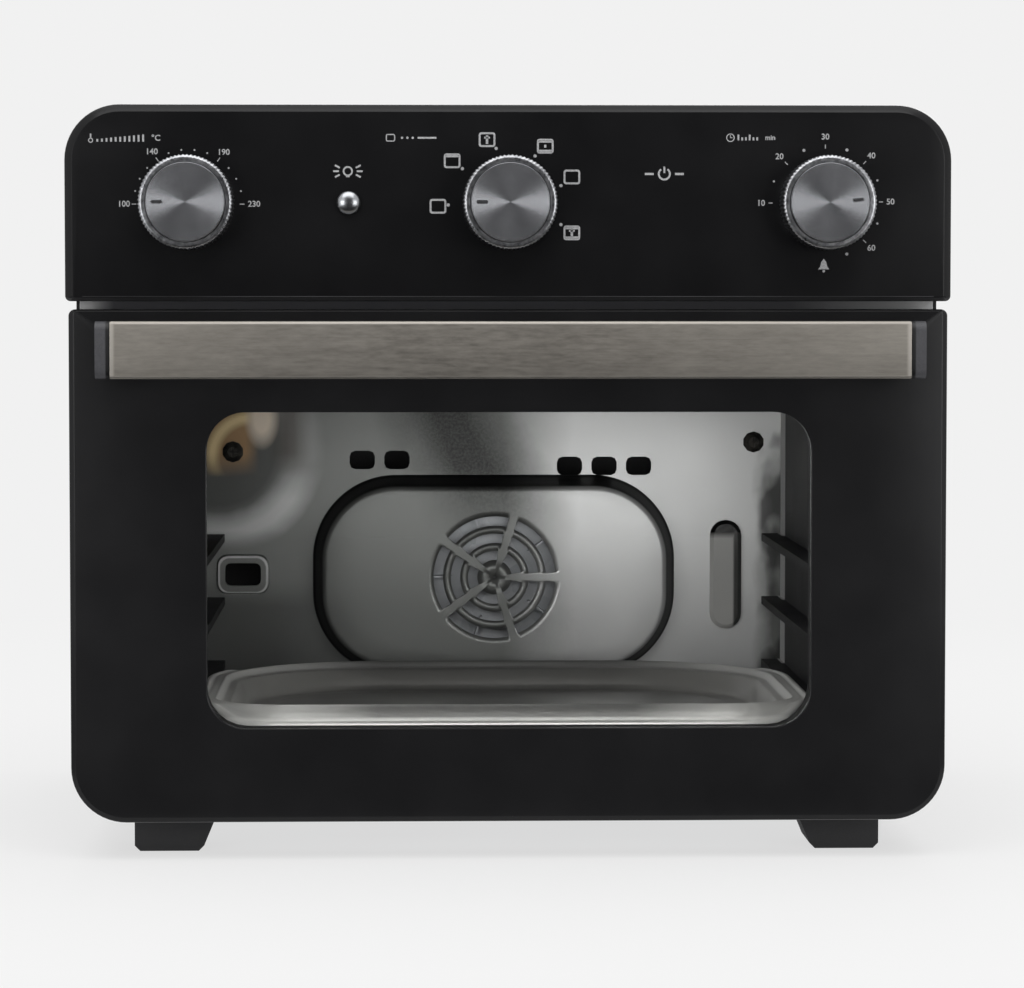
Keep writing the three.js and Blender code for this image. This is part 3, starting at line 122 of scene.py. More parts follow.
class Finish(Nodes):  # one material, its Principled shader and the nodes behind it
    def __init__(self, name, **plain):
        self.material = bpy.data.materials.new(name)
        self.material.use_nodes = True
        super().__init__(self.material.node_tree)
        self.shader = self.tree.nodes["Principled BSDF"]
        self.end = self.tree.nodes["Material Output"]
        for key, value in plain.items():
            self.set(key, value)

    def set(self, name, value):
        titles = {
            "colour": "Base Color", "roughness": "Roughness", "metallic": "Metallic", "shine": "Specular IOR Level",
            "clear": "Transmission Weight", "bend": "IOR", "normal": "Normal",
        }
        self.plug(self.shader.inputs[titles[name]], value)

    def blend(self, share, first, second):  # the whole surface goes from the first shader to the second
        both = self.node("MixShader", None, {0: share, 1: first, 2: second})
        self.plug(self.end.inputs["Surface"], both)

    def place(self, scale=(1, 1, 1)):  # the place on the piece in metres, stretched by the scale
        where = self.node("TexCoord", out="Object")
        return self.node("Mapping", None, {"Vector": where, "Scale": scale})

    def axes(self, where):
        split = self.tree.nodes.new("ShaderNodeSeparateXYZ")
        self.plug(split.inputs[0], where)
        return [Wire(self, socket) for socket in split.outputs]

    def noise(self, where, scale, detail=3.0, rough=0.5):
        values = {"Vector": where, "Scale": scale, "Detail": detail, "Roughness": rough}
        return self.node("TexNoise", None, values)

    def mix(self, share, *tones):  # two colours, as they are picked on a screen, or two wires
        first, second = (paint(*tone) if isinstance(tone, tuple) else tone for tone in tones)
        return self.node("Mix", {"data_type": "RGBA"}, {0: share, 6: first, 7: second}, out=2)

    def relief(self, height, depth, strength=1.0):
        bump = self.node("Bump", None, {"Height": height, "Distance": depth, "Strength": strength})
        self.set("normal", bump)


# Finishes
finishes = {}


def finished(**plain):  # keeps what the function below it makes, under the function's name
    def keep(make):
        f = Finish(make.__name__, **plain)
        make(f)
        finishes[make.__name__] = f
        return make
    return keep


# The plain finishes: one noise moves the colour between two tones, and the roughness and the height follow it,
# or follow a second, finer grain
plainFinishes = {
    "darkPlastic": {
        "noise": (2200, 2, 0.6), "reach": (0.35, 0.7), "colours": ((34, 34, 36), (46, 46, 49)),
        "roughness": (0.5, 0.15), "relief": (0.00008, 0.6), "shine": 0.3,
    },
    "spunMetal": {
        "noise": (160, 3), "colours": ((112, 113, 116), (124, 125, 128)), "roughness": (0.2, 0.08), "metallic": 0.84,
    },
    "knobRim": {
        "noise": (420, 3, 0.6), "reach": (0.38, 0.66), "colours": ((134, 135, 138), (178, 179, 182)),
        "roughness": (0.22, 0.16), "relief": (0.00005, 0.4), "metallic": 1.0,
    },
    "chrome": {
        "noise": (120, 4), "colours": ((150, 152, 155), (168, 170, 173)), "roughness": (0.24, 0.06), "metallic": 1.0,
    },
    "ceramic": {
        "noise": (900, 3), "colours": ((224, 218, 204), (238, 233, 221)),
        "roughness": (0.5, 0.2), "relief": (0.00008, 0.4), "shine": 0.4,
    },
    "rubber": {
        "noise": (1400, 3, 0.6), "colours": ((50, 50, 51), (62, 62, 63)),
        "roughness": (0.74, 0.16), "relief": (0.0001, 0.6), "shine": 0.25,
    },
    "screwIron": {
        "noise": (260, 3), "reach": (0.35, 0.65), "colours": ((38, 37, 36), (74, 71, 66)), "grain": (1500, 2),
        "roughness": (0.42, 0.2), "relief": (0.00003, 0.3), "metallic": 0.7,
    },
    "heater": {
        "noise": (70, 4), "reach": (0.35, 0.65), "colours": ((78, 76, 73), (112, 103, 92)), "grain": (1600, 2),
        "roughness": (0.5, 0.16), "relief": (0.0001, 0.5), "metallic": 0.7,
    },
    "printing": {
        "noise": (2600, 2), "reach": (0.35, 0.7), "colours": ((134, 134, 136), (176, 176, 177)),
        "roughness": (0.5, 0.15), "shine": 0.3,
    },
}


def plainFinish(name, noise, colours, roughness, reach=None, grain=None, relief=None, **plain):
    f = Finish(name, **plain)
    where = f.place()
    speck = f.noise(where, *noise)
    share = speck.spread(*reach) if reach else speck
    f.set("colour", f.mix(share, *colours))
    fine = f.noise(where, *grain) if grain else speck
    f.set("roughness", roughness[0] + fine * roughness[1])
    if relief:
        f.relief(fine, *relief)
    return f


for name, look in plainFinishes.items():
    finishes[name] = plainFinish(name, **look)

# The glossy fronts, near black, with a faint cloud of wear
glossColours = {"blackGloss": ((18, 18, 19), (22, 22, 23)), "doorGloss": ((24, 24, 25), (28, 28, 29))}


def glossFinish(name, colour, worn):
    f = Finish(name, shine=0.18)
    where = f.place()
    cloud = f.noise(where, 26, 4)
    fine = f.noise(where, 900, 3)
    x, y, z = f.axes(where)
    foot = z.spread(0.2546, 0.2552, 1.0, 0.0) * z.over(0.253)  # painted light: paler below the fascia's crease, where the lower bevel faces down
    f.set("colour", f.mix(foot, f.mix(cloud.spread(0.35, 0.7), colour, worn), (44, 44, 45)))
    f.set("roughness", 0.16 + cloud * 0.08 + fine * 0.05)
    f.relief(fine, 0.00002, 0.3)
    return f


for name, colours in glossColours.items():
    finishes[name] = glossFinish(name, *colours)


# The crease bead's pale colour is a painted highlight, varied along its length
@finished(shine=0.25)
def creaseWear(f):
    highlightStreak = f.noise(f.place((18, 200, 200)), 1.0, 4, 0.6)
    f.set("colour", f.mix(highlightStreak.spread(0.35, 0.65), (22, 22, 23), (52, 52, 54)))
    f.set("roughness", 0.4 + highlightStreak * 0.1)


@finished(shine=0.4)
def framePaint(f):
    where = f.place()
    grain = f.noise(where, 1300, 2, 0.6)
    x, y, z = f.axes(where)
    slot = z.spread(0.2465, 0.249)  # painted light: paler in the slot above the door, and a near-white painted reflection at that slot's ends
    worn = x.spread(0.13, 0.19, 0.0, 0.7)
    worn = worn.most((x * -1).spread(0.18, 0.19, 0.0, 0.6)) * slot
    paintwork = f.mix(grain.spread(0.4, 0.75), (42, 42, 44), (50, 50, 52))
    f.set("colour", f.mix(worn, f.mix(slot, paintwork, (94, 94, 98)), (218, 218, 218)))
    f.set("roughness", 0.42 + grain * 0.1)
    f.relief(grain, 0.0001, 0.5)


@finished(shine=0.3)
def casingPaint(f):
    where = f.place()
    grain = f.noise(where, 1500, 2, 0.6)
    cloud = f.noise(where, 14, 4)
    f.set("colour", f.mix(grain.spread(0.4, 0.75), (30, 30, 32), (38, 38, 40)))
    f.set("roughness", 0.5 + cloud * 0.12)
    f.relief(grain, 0.00012, 0.6)


@finished(shine=0.35)
def capGrey(f):
    where = f.place()
    grain = f.noise(where, 1800, 2, 0.6)
    x, y, z = f.axes(where)
    capBandNearBar = x.size().spread(0.1787, 0.1793, 1.0, 0.0) * x.size().over(0.17)  # darker in a narrow band on the cap next to the bar
    plastic = f.mix(grain.spread(0.35, 0.7), (57, 57, 60), (66, 66, 69))
    f.set("colour", f.mix(capBandNearBar, plastic, (14, 14, 15)))
    f.set("roughness", 0.42 + grain * 0.12)
    f.relief(grain, 0.00006, 0.5)


@finished(metallic=1.0)
def brushedHandle(f):
    # the edge tone is a painted highlight
    look = {"light": (142, 138, 131), "dark": (119, 115, 109), "edge": (178, 173, 166)}
    where = f.place()
    x, y, z = f.axes(where)
    line = f.noise(f.place((12, 500, 1300)), 1.0, 4, 0.65)  # long fine scratches along the bar
    streak = f.noise(f.place((150, 300, 760)), 1.0, 3, 0.6)  # shorter broken strokes
    cloud = f.noise(f.place((34, 22, 90)), 1.0, 3)
    tone = line * 0.2 + streak * 0.5 + cloud * 0.3
    worn = (z - 0.2318).size().spread(0.0112, 0.0117)  # painted highlights: the long edges and the ends are painted bright
    ends = x.size().spread(0.1748, 0.176)
    edge = worn.most(ends) * 0.65
    brushed = f.mix(tone.spread(0.36, 0.64), look["dark"], look["light"])
    f.set("colour", f.mix(edge, brushed, look["edge"]))
    f.set("roughness", 0.5 + streak.spread(0.3, 0.7, 0.0, 0.1))
    f.relief(line * 0.4 + streak * 0.6, 0.00004, 0.5)


@finished(metallic=1.0)
def zinc(f):
    cell = f.node("TexVoronoi", None, {"Vector": f.place(), "Scale": 90}, out="Color")
    shade = f.node("SeparateColor", None, {"Color": cell}, out="Red")
    grain = f.noise(f.place(), 1200, 3)
    f.set("colour", f.mix(shade, (150, 153, 156), (176, 178, 181)))
    f.set("roughness", 0.36 + shade * 0.12 + grain * 0.06)
    f.relief(grain, 0.00006, 0.4)


# Baked-on film and painted reflection on the polished steel at the cavity's rear: painted bright at the right as a
# reflection, the film thicker and browned at the left
stainAndReflectionLook = {
    "bright": (226, 227, 227), "film": (132, 134, 132), "thick": (52, 53, 52), "brown": (172, 140, 104),
    "tan": (250, 228, 176), "cream": (240, 226, 208), "shade": (74, 66, 60), "edge": (34, 34, 35),
    "grease": (26, 26, 26),
}


def bakedSteel(name, groove):
    f = Finish(name, metallic=0.6, shine=0.5)
    where = f.place()
    cloud = f.noise(where, 11, 4)
    stain = f.noise(where, 34, 4, 0.6)
    grain = f.noise(where, 1100, 2, 0.6)
    speck = f.noise(where, 700, 2, 0.7)
    x, y, z = f.axes(where)
    # how far from the pressed frame of the left opening: the length past its corner's centre, less the corner's radius
    aside, above = (x + 0.1324).size() - 0.0068, (z - 0.1086).size() - 0.0037
    aside, above = aside.most(0.0), above.most(0.0)
    # a painted highlight along the pressed frame's edge
    ring = (aside.reach(above) - 0.006).size().spread(0.0003, 0.001, 1.0, 0.0)
    # the heat mark round the upper left screw: the length from its middle
    across, up = x + 0.144, z - 0.1744
    reach = across.reach(up) + (stain - 0.5) * 0.006
    inner = reach.spread(0.029, 0.038, 1.0, 0.0)
    halo = (reach - 0.044).size().spread(0.002, 0.012, 1.0, 0.0)
    halo = halo * z.spread(0.148, 0.166, 1.0, 0.25) * z.spread(0.12, 0.132)
    high = (z + (cloud - 0.5) * 0.012).spread(0.16, 0.173)
    straw = (x + 0.14).size().spread(0.009, 0.016, 1.0, 0.0) * high
    # a paler arc at the mark's upper left: the length from the arc's middle, less its radius
    across, up = x + 0.128, z - 0.171
    arc = (across.reach(up) - 0.0205).size().spread(0.0008, 0.0045, 1.0, 0.0)
    arc = arc * x.spread(-0.131, -0.125, 1.0, 0.0) * high
    # a pale oval spot beside the screw: the length from its middle, each way over its half width
    across, up = (x + 0.1223) / 0.0078, (z - 0.191) / 0.0135
    pale = across.reach(up).spread(0.5, 1.25, 1.0, 0.0)
    shade = (x + 0.1075).size().spread(0.002, 0.012, 1.0, 0.0) * high
    # a ragged dark edge at the far right, a painted dark reflection
    edge = (x + (stain - 0.5) * 0.006).spread(0.1395, 0.1425)
    edge = edge * f.noise(f.place((60, 60, 38)), 1.0, 2).spread(0.42, 0.56)
    # the film and the painted reflection, their borders moved about by the noises: bright steel at the right, painted
    # as a reflection, and a thick band above the cover
    x = x - 0.0071 + (stain - 0.5) * 0.012
    z = z + (cloud - 0.5) * 0.02
    clear = x.spread(-0.002, 0.036) * (1 - x.spread(0.131, 0.141) * (1 - z.spread(0.15, 0.185)))
    dip = (x + 0.0275 + (z - 0.185) * 0.5).size().spread(0.008, 0.042, 1.0, 0.0)
    dip = dip * (0.84 + speck.spread(0.4, 0.6) * 0.16)
    low = x.spread(-0.122, -0.08, 1.0, 0.0) * z.spread(0.092, 0.107, 1.0, 0.0)
    base = f.mix(clear, stainAndReflectionLook["film"], stainAndReflectionLook["bright"])
    layers = [
        (dip * z.spread(0.13, 0.165, 0.25, 1.0), "thick"), (inner * 0.6, "thick"), (halo * 0.7, "bright"),
        (low * 0.5, "thick"), (shade * 0.6, "shade"), (straw, "brown"), (arc * 0.85, "tan"), (pale, "cream"),
        (edge * 0.75, "edge"), (ring * 0.8, "bright"),
    ]
    if groove:  # painted shadow: the cover's sides, back to the wall, are painted dark
        layers.append((y.spread(0.1209, 0.1226), "grease"))
    for share, key in layers:
        base = f.mix(share, base, stainAndReflectionLook[key])
    f.set("colour", base)
    f.set("roughness", 0.3 + stain * 0.08 + grain * 0.06)
    f.relief(grain * 0.5 + stain, 0.00004, 0.3)
    return f


for name, groove in (("cavitySteel", False), ("coverSteel", True)):
    finishes[name] = bakedSteel(name, groove)


@finished(shine=0.12)
def linerSteel(f):
    look = {"colour": (46, 46, 47), "dark": (24, 24, 26), "soot": (9, 9, 10), "clean": (190, 190, 190)}
    where = f.place()
    x, y, z = f.axes(where)
    stain = f.noise(where, 24, 4, 0.6)
    grain = f.noise(where, 1100, 2, 0.6)
    film = x.size().spread(0.13, 0.15) * 0.7 + stain.spread(0.35, 0.7) * 0.3  # more on the side walls
    clean = y.spread(0.112, 0.116) * x.over(0.1505)  # a painted highlight where the right wall folds to the rear
    side = x.size().over(0.13)
    soot = z.spread(0.105, 0.165) * side
    f.set("metallic", 0.75 - side * 0.75)
    base = f.mix(soot, f.mix(film, look["colour"], look["dark"]), look["soot"])
    f.set("colour", f.mix(clean, base, look["clean"]))
    f.set("roughness", 0.34 + side * 0.16 + stain * 0.12 + grain * 0.06)
    f.relief(grain * 0.5 + stain, 0.00005, 0.3)


@finished(shine=0.6)
def traySteel(f):
    where = f.place()
    cloud = f.noise(where, 20, 4)
    line = f.noise(f.place((40, 700, 700)), 1.0, 3)
    x, y, z = f.axes(where)
    # how far out in plan: the length past the middle of the nearest corner's round
    rear = y.over(0.0)  # the rear corners are 44 mm wider than the front ones
    aside, along = x.size() - 0.102 + rear * 0.044, (y + 0.0004).size() - 0.07 + rear * 0.044
    aside, along = aside.most(0.0), along.most(0.0)
    out = aside.reach(along) + 0.044 - rear * 0.044
    # dulled by use inside, below the rim
    used = z.spread(0.0655, 0.062, 0.0, 1.0) * (0.55 + cloud * 0.5) * out.spread(0.077, 0.074, 0.0, 1.0)
    # painted highlight: the rolled rim is painted near white, and the outer wall beyond it is painted dark at the
    # middle and bright towards the ends
    roll = z.spread(0.0592, 0.0606, 1.0, 0.0) * out.spread(0.074, 0.077)
    end = x.size().spread(0.06, 0.115)
    ledge = f.mix(cloud, (164, 164, 162), (186, 186, 184))
    rim = f.mix(out.spread(0.076, 0.08), ledge, f.mix(end, (106, 106, 105), (206, 206, 204)))
    f.set("colour", f.mix(used, f.mix(roll, rim, (240, 240, 238)), (132, 131, 128)))
    f.set("metallic", 0.62 - end * 0.5)
    f.set("roughness", 0.26 + cloud * 0.12 + line * 0.06)
    f.relief(line, 0.00003, 0.4)


@finished(metallic=0.9)
def motorIron(f):
    where = f.place()
    grain = f.noise(where, 600, 3)
    layer = f.noise(f.place((60, 2600, 60)), 1.0, 1)
    f.set("colour", f.mix(grain, (92, 92, 94), (122, 121, 119)))
    f.set("roughness", 0.42 + layer * 0.16)
    f.relief(layer + grain * 0.4, 0.0001, 0.5)


@finished(shine=0.2)
def sealCord(f):
    where = f.place()
    weave = f.node("TexVoronoi", None, {"Vector": where, "Scale": 900}, out="Distance")
    f.set("colour", f.mix(weave, (58, 58, 60), (88, 88, 88)))
    f.set("roughness", 0.85)
    f.relief(weave, 0.0003, 0.6)


@finished(colour=(0.9, 0.9, 0.89, 1.0), clear=1.0, bend=1.45, shine=0.2)
def windowGlass(f):
    smear = f.noise(f.place((14, 14, 9)), 1.0, 4)
    f.set("roughness", smear.spread(0.45, 0.8, 0.0, 0.02))
    passing = f.node("BsdfTransparent", None, {"Color": (0.86, 0.86, 0.85, 1.0)})
    lampRay = f.node("LightPath", out="Is Shadow Ray")
    f.blend(lampRay, Wire(f, f.shader.outputs[0]), passing)


@finished(colour=(0.93, 0.92, 0.88, 1.0), clear=0.9, bend=1.45, shine=0.4)
def lampGlass(f):
    ripple = f.noise(f.place(), 160, 2)
    f.set("roughness", 0.08 + ripple * 0.1)
    f.relief(ripple, 0.0003, 0.5)


@finished(clear=0.3, bend=1.45, shine=0.4)
def lensGlass(f):
    where = f.place()
    ripple = f.noise(where, 160, 2)
    x, y, z = f.axes(where)
    shade = z.spread(0.1275, 0.131)  # painted shade at its top and down its right side
    shade = shade.most(x.spread(0.1262, 0.1274, 0.0, 0.85))
    f.set("colour", f.mix(shade, (220, 220, 217), (20, 20, 20)))
    f.set("roughness", 0.12 + ripple * 0.1)
    f.relief(ripple, 0.0003, 0.5)


print("finishes made:", len(finishes))


def finishOfSlot(slot):  # the slot black_gloss has the finish blackGloss
    first, *rest = slot.split("_")
    return first + "".join(word.title() for word in rest)


# The studio: camera, floor, lamps and a pale surround
studio = {
    "eye": (-49.33, -1855.8, 255.88),  # where the camera stands, in millimetres
    "turn": -0.0296,
    "dip": 0.0525,
    "lens": 132.77,
    "pale": (241, 241, 241),
    "skyLight": 0.42,  # the surround's strength where it lights the oven, unseen
    "floorReach": 14,
    "floorDrop": 0.2,  # the floor lies this far below the feet, in millimetres
}
lens = bpy.data.cameras.new("camera")
lens.lens = studio["lens"]
lens.sensor_width = 36
lens.clip_start, lens.clip_end = 0.05, 60
camera = placed("camera", lens)
camera.location = Vector(studio["eye"]) * mm
camera.rotation_euler = (math.pi / 2 - studio["dip"], 0, studio["turn"])
scene.camera = camera
scene.view_settings.view_transform = "Standard"

pale = paint(*studio["pale"])


def seenRays(f):  # 1 for the rays that show the pale background itself: the camera's, and those off metal and glass
    kinds = ("Is Camera Ray", "Is Glossy Ray", "Is Transmission Ray")
    direct, glossy, passing = (f.node("LightPath", out=kind) for kind in kinds)
    return direct.most(glossy.most(passing))


surround = bpy.data.worlds.new("surround")
surround.use_nodes = True
scene.world = surround
sky = Nodes(surround.node_tree)
skyLight = sky.tree.nodes["Background"].inputs
skyLight["Color"].default_value = (1, 1, 1, 1)
sky.plug(skyLight["Strength"], seenRays(sky).spread(0.0, 1.0, studio["skyLight"], pale[0]))


def floorFinish():
    f = Finish("floorPaper", colour=pale, roughness=0.9, shine=0.0)
    glow = f.node("Emission", None, {"Color": pale, "Strength": 1.0})
    x, y, z = f.axes(f.place())
    far = (x * x + y * y).spread(0.15, 1.4, 0.74, 1.0)  # the paper fades into the surround away from the oven
    f.blend(seenRays(f) * far, Wire(f, f.shader.outputs[0]), glow)
    return f.material


floorMesh = bpy.data.meshes.new("floor")
reach, drop = studio["floorReach"], -studio["floorDrop"] * mm
floorCorners = [(x * reach, y * reach, drop) for x, y in ((-1, -1), (1, -1), (1, 1), (-1, 1))]
floorMesh.from_pydata(floorCorners, [], [(0, 1, 2, 3)])
floorMesh.materials.append(floorFinish())
floor = placed("floor", floorMesh)

# A dark cloth behind and below the camera, seen only in shiny surfaces: the pale surround shows at their sides.
cloth = {"sides": (-0.85, 0.95), "fold": ((-0.2, 0.002), (-2.4, 0.002), (-2.4, 2.4))}  # the fold is Y and Z
clothMesh = bpy.data.meshes.new("cloth")
clothCorners = [(x, y, z) for y, z in cloth["fold"] for x in cloth["sides"]]
clothMesh.from_pydata(clothCorners, [], [(0, 1, 3, 2), (2, 3, 5, 4)])
clothFinish = Finish("clothFinish", colour=paint(34, 34, 35), roughness=0.95, shine=0.0)
clothMesh.materials.append(clothFinish.material)
clothPiece = placed("cloth", clothMesh)
clothPiece.visible_camera = clothPiece.visible_diffuse = clothPiece.visible_shadow = False

lamps = {  # place, what it points at, size, watts
    "keyLamp": ((-0.15, -1.3, 1.9), (0, -0.1, 0.2), (2.4, 1.5), 25),
    "leftLamp": ((-1.17, -1.7, 0.34), (0, -0.1, 0.28), (0.8, 0.7), 6.5),
    "rightLamp": ((1.12, -1.68, 0.34), (0, -0.1, 0.28), (0.8, 0.7), 6.8),
    "topLamp": ((0.1, 0.2, 2.1), (0, 0, 0.2), (2.4, 2.0), 18),
    "backLamp": ((0.3, 2.0, 1.3), (0, 0, 0.2), (1.4, 1.0), 12),
    "ovenLamp": ((0.02, -0.1, 0.148), (0.0, 0.138, 0.124), (0.27, 0.07), 0.135),
}
for title, (place, aim, size, watts) in lamps.items():
    data = bpy.data.lights.new(title, "AREA")
    data.shape = "RECTANGLE"
    data.size, data.size_y = size
    data.energy = watts
    lamp = placed(title, data)
    lamp.location = place
    lamp.rotation_mode = "QUATERNION"
    lamp.rotation_quaternion = (Vector(aim) - Vector(place)).to_track_quat("-Z", "Y")
    lamp.visible_camera = False
print("studio set")


# A node's middle in X and Z, its front and its back
def middleOf(node):
    low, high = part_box(node)
    return ((low.x + high.x) / 2, (low.z + high.z) / 2), low.y, high.y


# Points at a radius round a middle: its place plus the radius times the angle's cosine and sine
def around(x, z, r, turn):
    return np.stack([x + r * np.cos(turn), z + r * np.sin(turn)], axis=-1)


weld = 1e-7  # points as near as this become one, and a turned surface meets its axis at this radius


# A mesh from arrays: doubles merged, faces turned outwards, edges sharper than the angle kept crisp
def pieceOf(name, points, faces, finish, body, sharp=32):
    mesh = bpy.data.meshes.new(name)
    mesh.from_pydata(np.asarray(points, float).reshape(-1, 3).tolist(), [], faces)
    shell = bmesh.new()
    shell.from_mesh(mesh)
    bmesh.ops.remove_doubles(shell, verts=shell.verts, dist=weld)
    bmesh.ops.dissolve_degenerate(shell, edges=shell.edges, dist=weld)
    bmesh.ops.recalc_face_normals(shell, faces=shell.faces)
    shell.to_mesh(mesh)
    shell.free()
    mesh.shade_smooth()
    mesh.set_sharp_from_angle(angle=math.radians(sharp))
    mesh.materials.append(finishes[finish].material)
    made = placed(name, mesh)
    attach(made, body)
    return made


# A sheet's wall, behind the face that is seen: the faces are turned round first where they point the wrong way
def thicken(made, inward, sheet):
    if inward:
        made.data.flip_normals()
    wall = made.modifiers.new("wall", "SOLIDIFY")
    wall.thickness = sheet * mm
    wall.offset = -1


# The faces of a grid of points, rows by columns: each point joined to its next along the row, round and round,
# and to the next row, whose last is joined to the first where looped
def gridFaces(rows, columns, looped=False):
    index = np.arange(rows * columns).reshape(rows, columns)
    down = np.roll(index, -1, axis=0)
    if not looped:
        index, down = index[:-1], down[:-1]
    right, downRight = np.roll(index, -1, axis=1), np.roll(down, -1, axis=1)
    return np.stack([index, right, downRight, down], axis=-1).reshape(-1, 4).tolist()


# The same, closed with a flat face at the first row and at the last
def cappedFaces(points):
    rows, columns = points.shape[:2]
    last = (rows - 1) * columns
    return gridFaces(rows, columns) + [list(range(columns)), list(range(last, last + columns))]


# A rounded rectangle in X and Z: four quarter circles of steps + 1 points, from the foot's right corner, anticlockwise
def roundedLoop(left, right, low, high, foot, top, steps=14):
    turn = np.linspace(0, math.pi / 2, steps + 1)
    corners = [
        (right - foot, low + foot, foot, -math.pi / 2),
        (right - top, high - top, top, 0),
        (left + top, high - top, top, math.pi / 2),
        (left + foot, low + foot, foot, math.pi),
    ]
    return np.concatenate([around(x, z, r, turn + start) for x, z, r, start in corners])


# Loops of X and Z carried along Y: each row is its loop at its depth
def lofted(loops, depths):
    rows = []
    for loop, y in zip(loops, depths):
        rows.append(np.stack([loop[:, 0], np.full(len(loop), y), loop[:, 1]], axis=-1))
    return np.array(rows)


# A profile of radius and depth turned about a line along Y: X and Z are the centre plus the radius times the angle's
# cosine and sine. The flutes take a raised cosine of the angle off the radius, by each profile point's share.
def turned(centre, profile, steps, flutes=0, fluteDepth=0.0, fluteShare=None):
    angle = np.linspace(0, 2 * math.pi, steps, endpoint=False)
    radius, depth = np.array(profile).T
    share = np.zeros(len(radius)) if fluteShare is None else np.array(fluteShare)
    groove = fluteDepth * (0.5 + 0.5 * np.cos(flutes * angle))
    reach = radius[:, None] - share[:, None] * groove
    return lofted([around(*centre, r, angle) for r in reach], depth)


# A tight corner of an outline moved inwards: it shrinks by 0.6 of the inset, and stays 0.6 mm at least
def tightCorner(corner, inset):
    return max(corner * mm - inset * 0.6, 0.6 * mm)


# The CAD nodes: finish by slot, and round forms shaded smooth on a merged copy
nodeSlots = {part["node"]: part["material_slot"] for part in frame["record"]["subparts"]}
ownPiece = {
    "control_fascia", "door_frame", "door_handle", "light_button",
    "temperature_knob", "function_knob", "timer_knob",
    "temperature_knob_cap", "function_knob_cap", "timer_knob_cap", "fan_cover", "baking_tray",
}
nodeFinishes = {  # nodes whose finish is their own, not their slot's
    "front_frame": "framePaint", "cavity_liner": "linerSteel", "lamp_lens": "lensGlass", "door_seal": "sealCord",
    "wall_screw_left": "screwIron", "wall_screw_right": "screwIron",
}
bodyOfNode = {node: body for body, nodes in frame["record"]["behaviour"]["bodies"].items() for node in nodes}


# The same surface with its doubles merged: points that round to the same thousandth of a millimetre become one
def mergedCopy(source, name):
    places = np.empty(len(source.vertices) * 3)
    source.vertices.foreach_get("co", places)
    corners = np.empty(len(source.loops), dtype=np.int64)
    source.loops.foreach_get("vertex_index", corners)
    unique, back = np.unique(np.round(places.reshape(-1, 3), 6), axis=0, return_inverse=True)
    triangles = back.reshape(-1)[corners].reshape(-1, 3)
    a, b, c = triangles.T
    whole = (a != b) & (b != c) & (a != c)
    mesh = bpy.data.meshes.new(name)
    mesh.from_pydata(unique.tolist(), [], triangles[whole].tolist())
    mesh.shade_smooth()
    mesh.set_sharp_from_angle(angle=math.radians(31))
    mesh.materials.append(source.materials[0])
    return mesh


for name, node in frame["nodes"].items():
    finish = finishes[nodeFinishes.get(name) or finishOfSlot(nodeSlots[name])]
    node.data.materials.clear()
    node.data.materials.append(finish.material)
    if name in ownPiece:
        continue
    dressed = placed(name + "Dressed", mergedCopy(node.data, name + "Dressed"))
    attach(dressed, bodyOfNode[name])
    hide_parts(name)
print("nodes dressed:", len(frame["nodes"]) - len(ownPiece))


# The control fascia: a moulded cap whose rim is bevelled all round. Each row is a rounded rectangle, the fascia's
# outline moved inwards by the profile's inset, at the profile's depth.
fascia = {"corner": 25.0, "footCorner": 2.5, "edge": 3.4, "bevel": 2.4, "wall": 2.6, "soft": 0.45, "footInset": 0.55}
fasciaLow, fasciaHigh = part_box("control_fascia")


def fasciaPiece():
    front, back = fasciaLow.y, fasciaHigh.y
    edge, bevel, wall, soft = (fascia[k] * mm for k in ("edge", "bevel", "wall", "soft"))
    ease = soft / math.hypot(edge, bevel)
    profile = [  # inset from the outline, depth
        (wall, front + wall + bevel), (wall, back), (wall * 0.4, back), (soft * 0.3, back), (0, back - soft),
        (0, front + bevel + soft), (edge * ease * 0.4, front + bevel - bevel * ease * 0.4 + soft * 0.25),
        (edge * ease, front + bevel * (1 - ease)), (edge * (1 - ease), front + bevel * ease),
        (edge * (1 - ease * 0.4) + soft * 0.25, front + bevel * ease * 0.24), (edge + soft, front),
    ]
    loops = [
        roundedLoop(
            fasciaLow.x + inset, fasciaHigh.x - inset, fasciaLow.z + inset * fascia["footInset"], fasciaHigh.z - inset,
            tightCorner(fascia["footCorner"], inset), fascia["corner"] * mm - inset,
        )
        for inset, depth in profile
    ]
    points = lofted(loops, [depth for inset, depth in profile])
    made = pieceOf("fasciaShell", points, cappedFaces(points), "blackGloss", "housing", 20)
    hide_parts("control_fascia")


fasciaPiece()


# The door's face: a frame with a rounded window. Rounded rectangles at stepped depths go from the window's edge over
# the face, down the bevel and the side to the back, and the last row is joined to the first.
door = {
    "corner": 25.0, "topCorner": 3.0, "topInset": 0.32, "edge": 2.4, "bevel": 1.6, "wall": 3.0, "soft": 0.4,
    "window": (-136.75, 136.75, 60.0, 203.3), "windowCorner": 17.5,  # left, right, low, high
}
doorLow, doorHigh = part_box("door_frame")


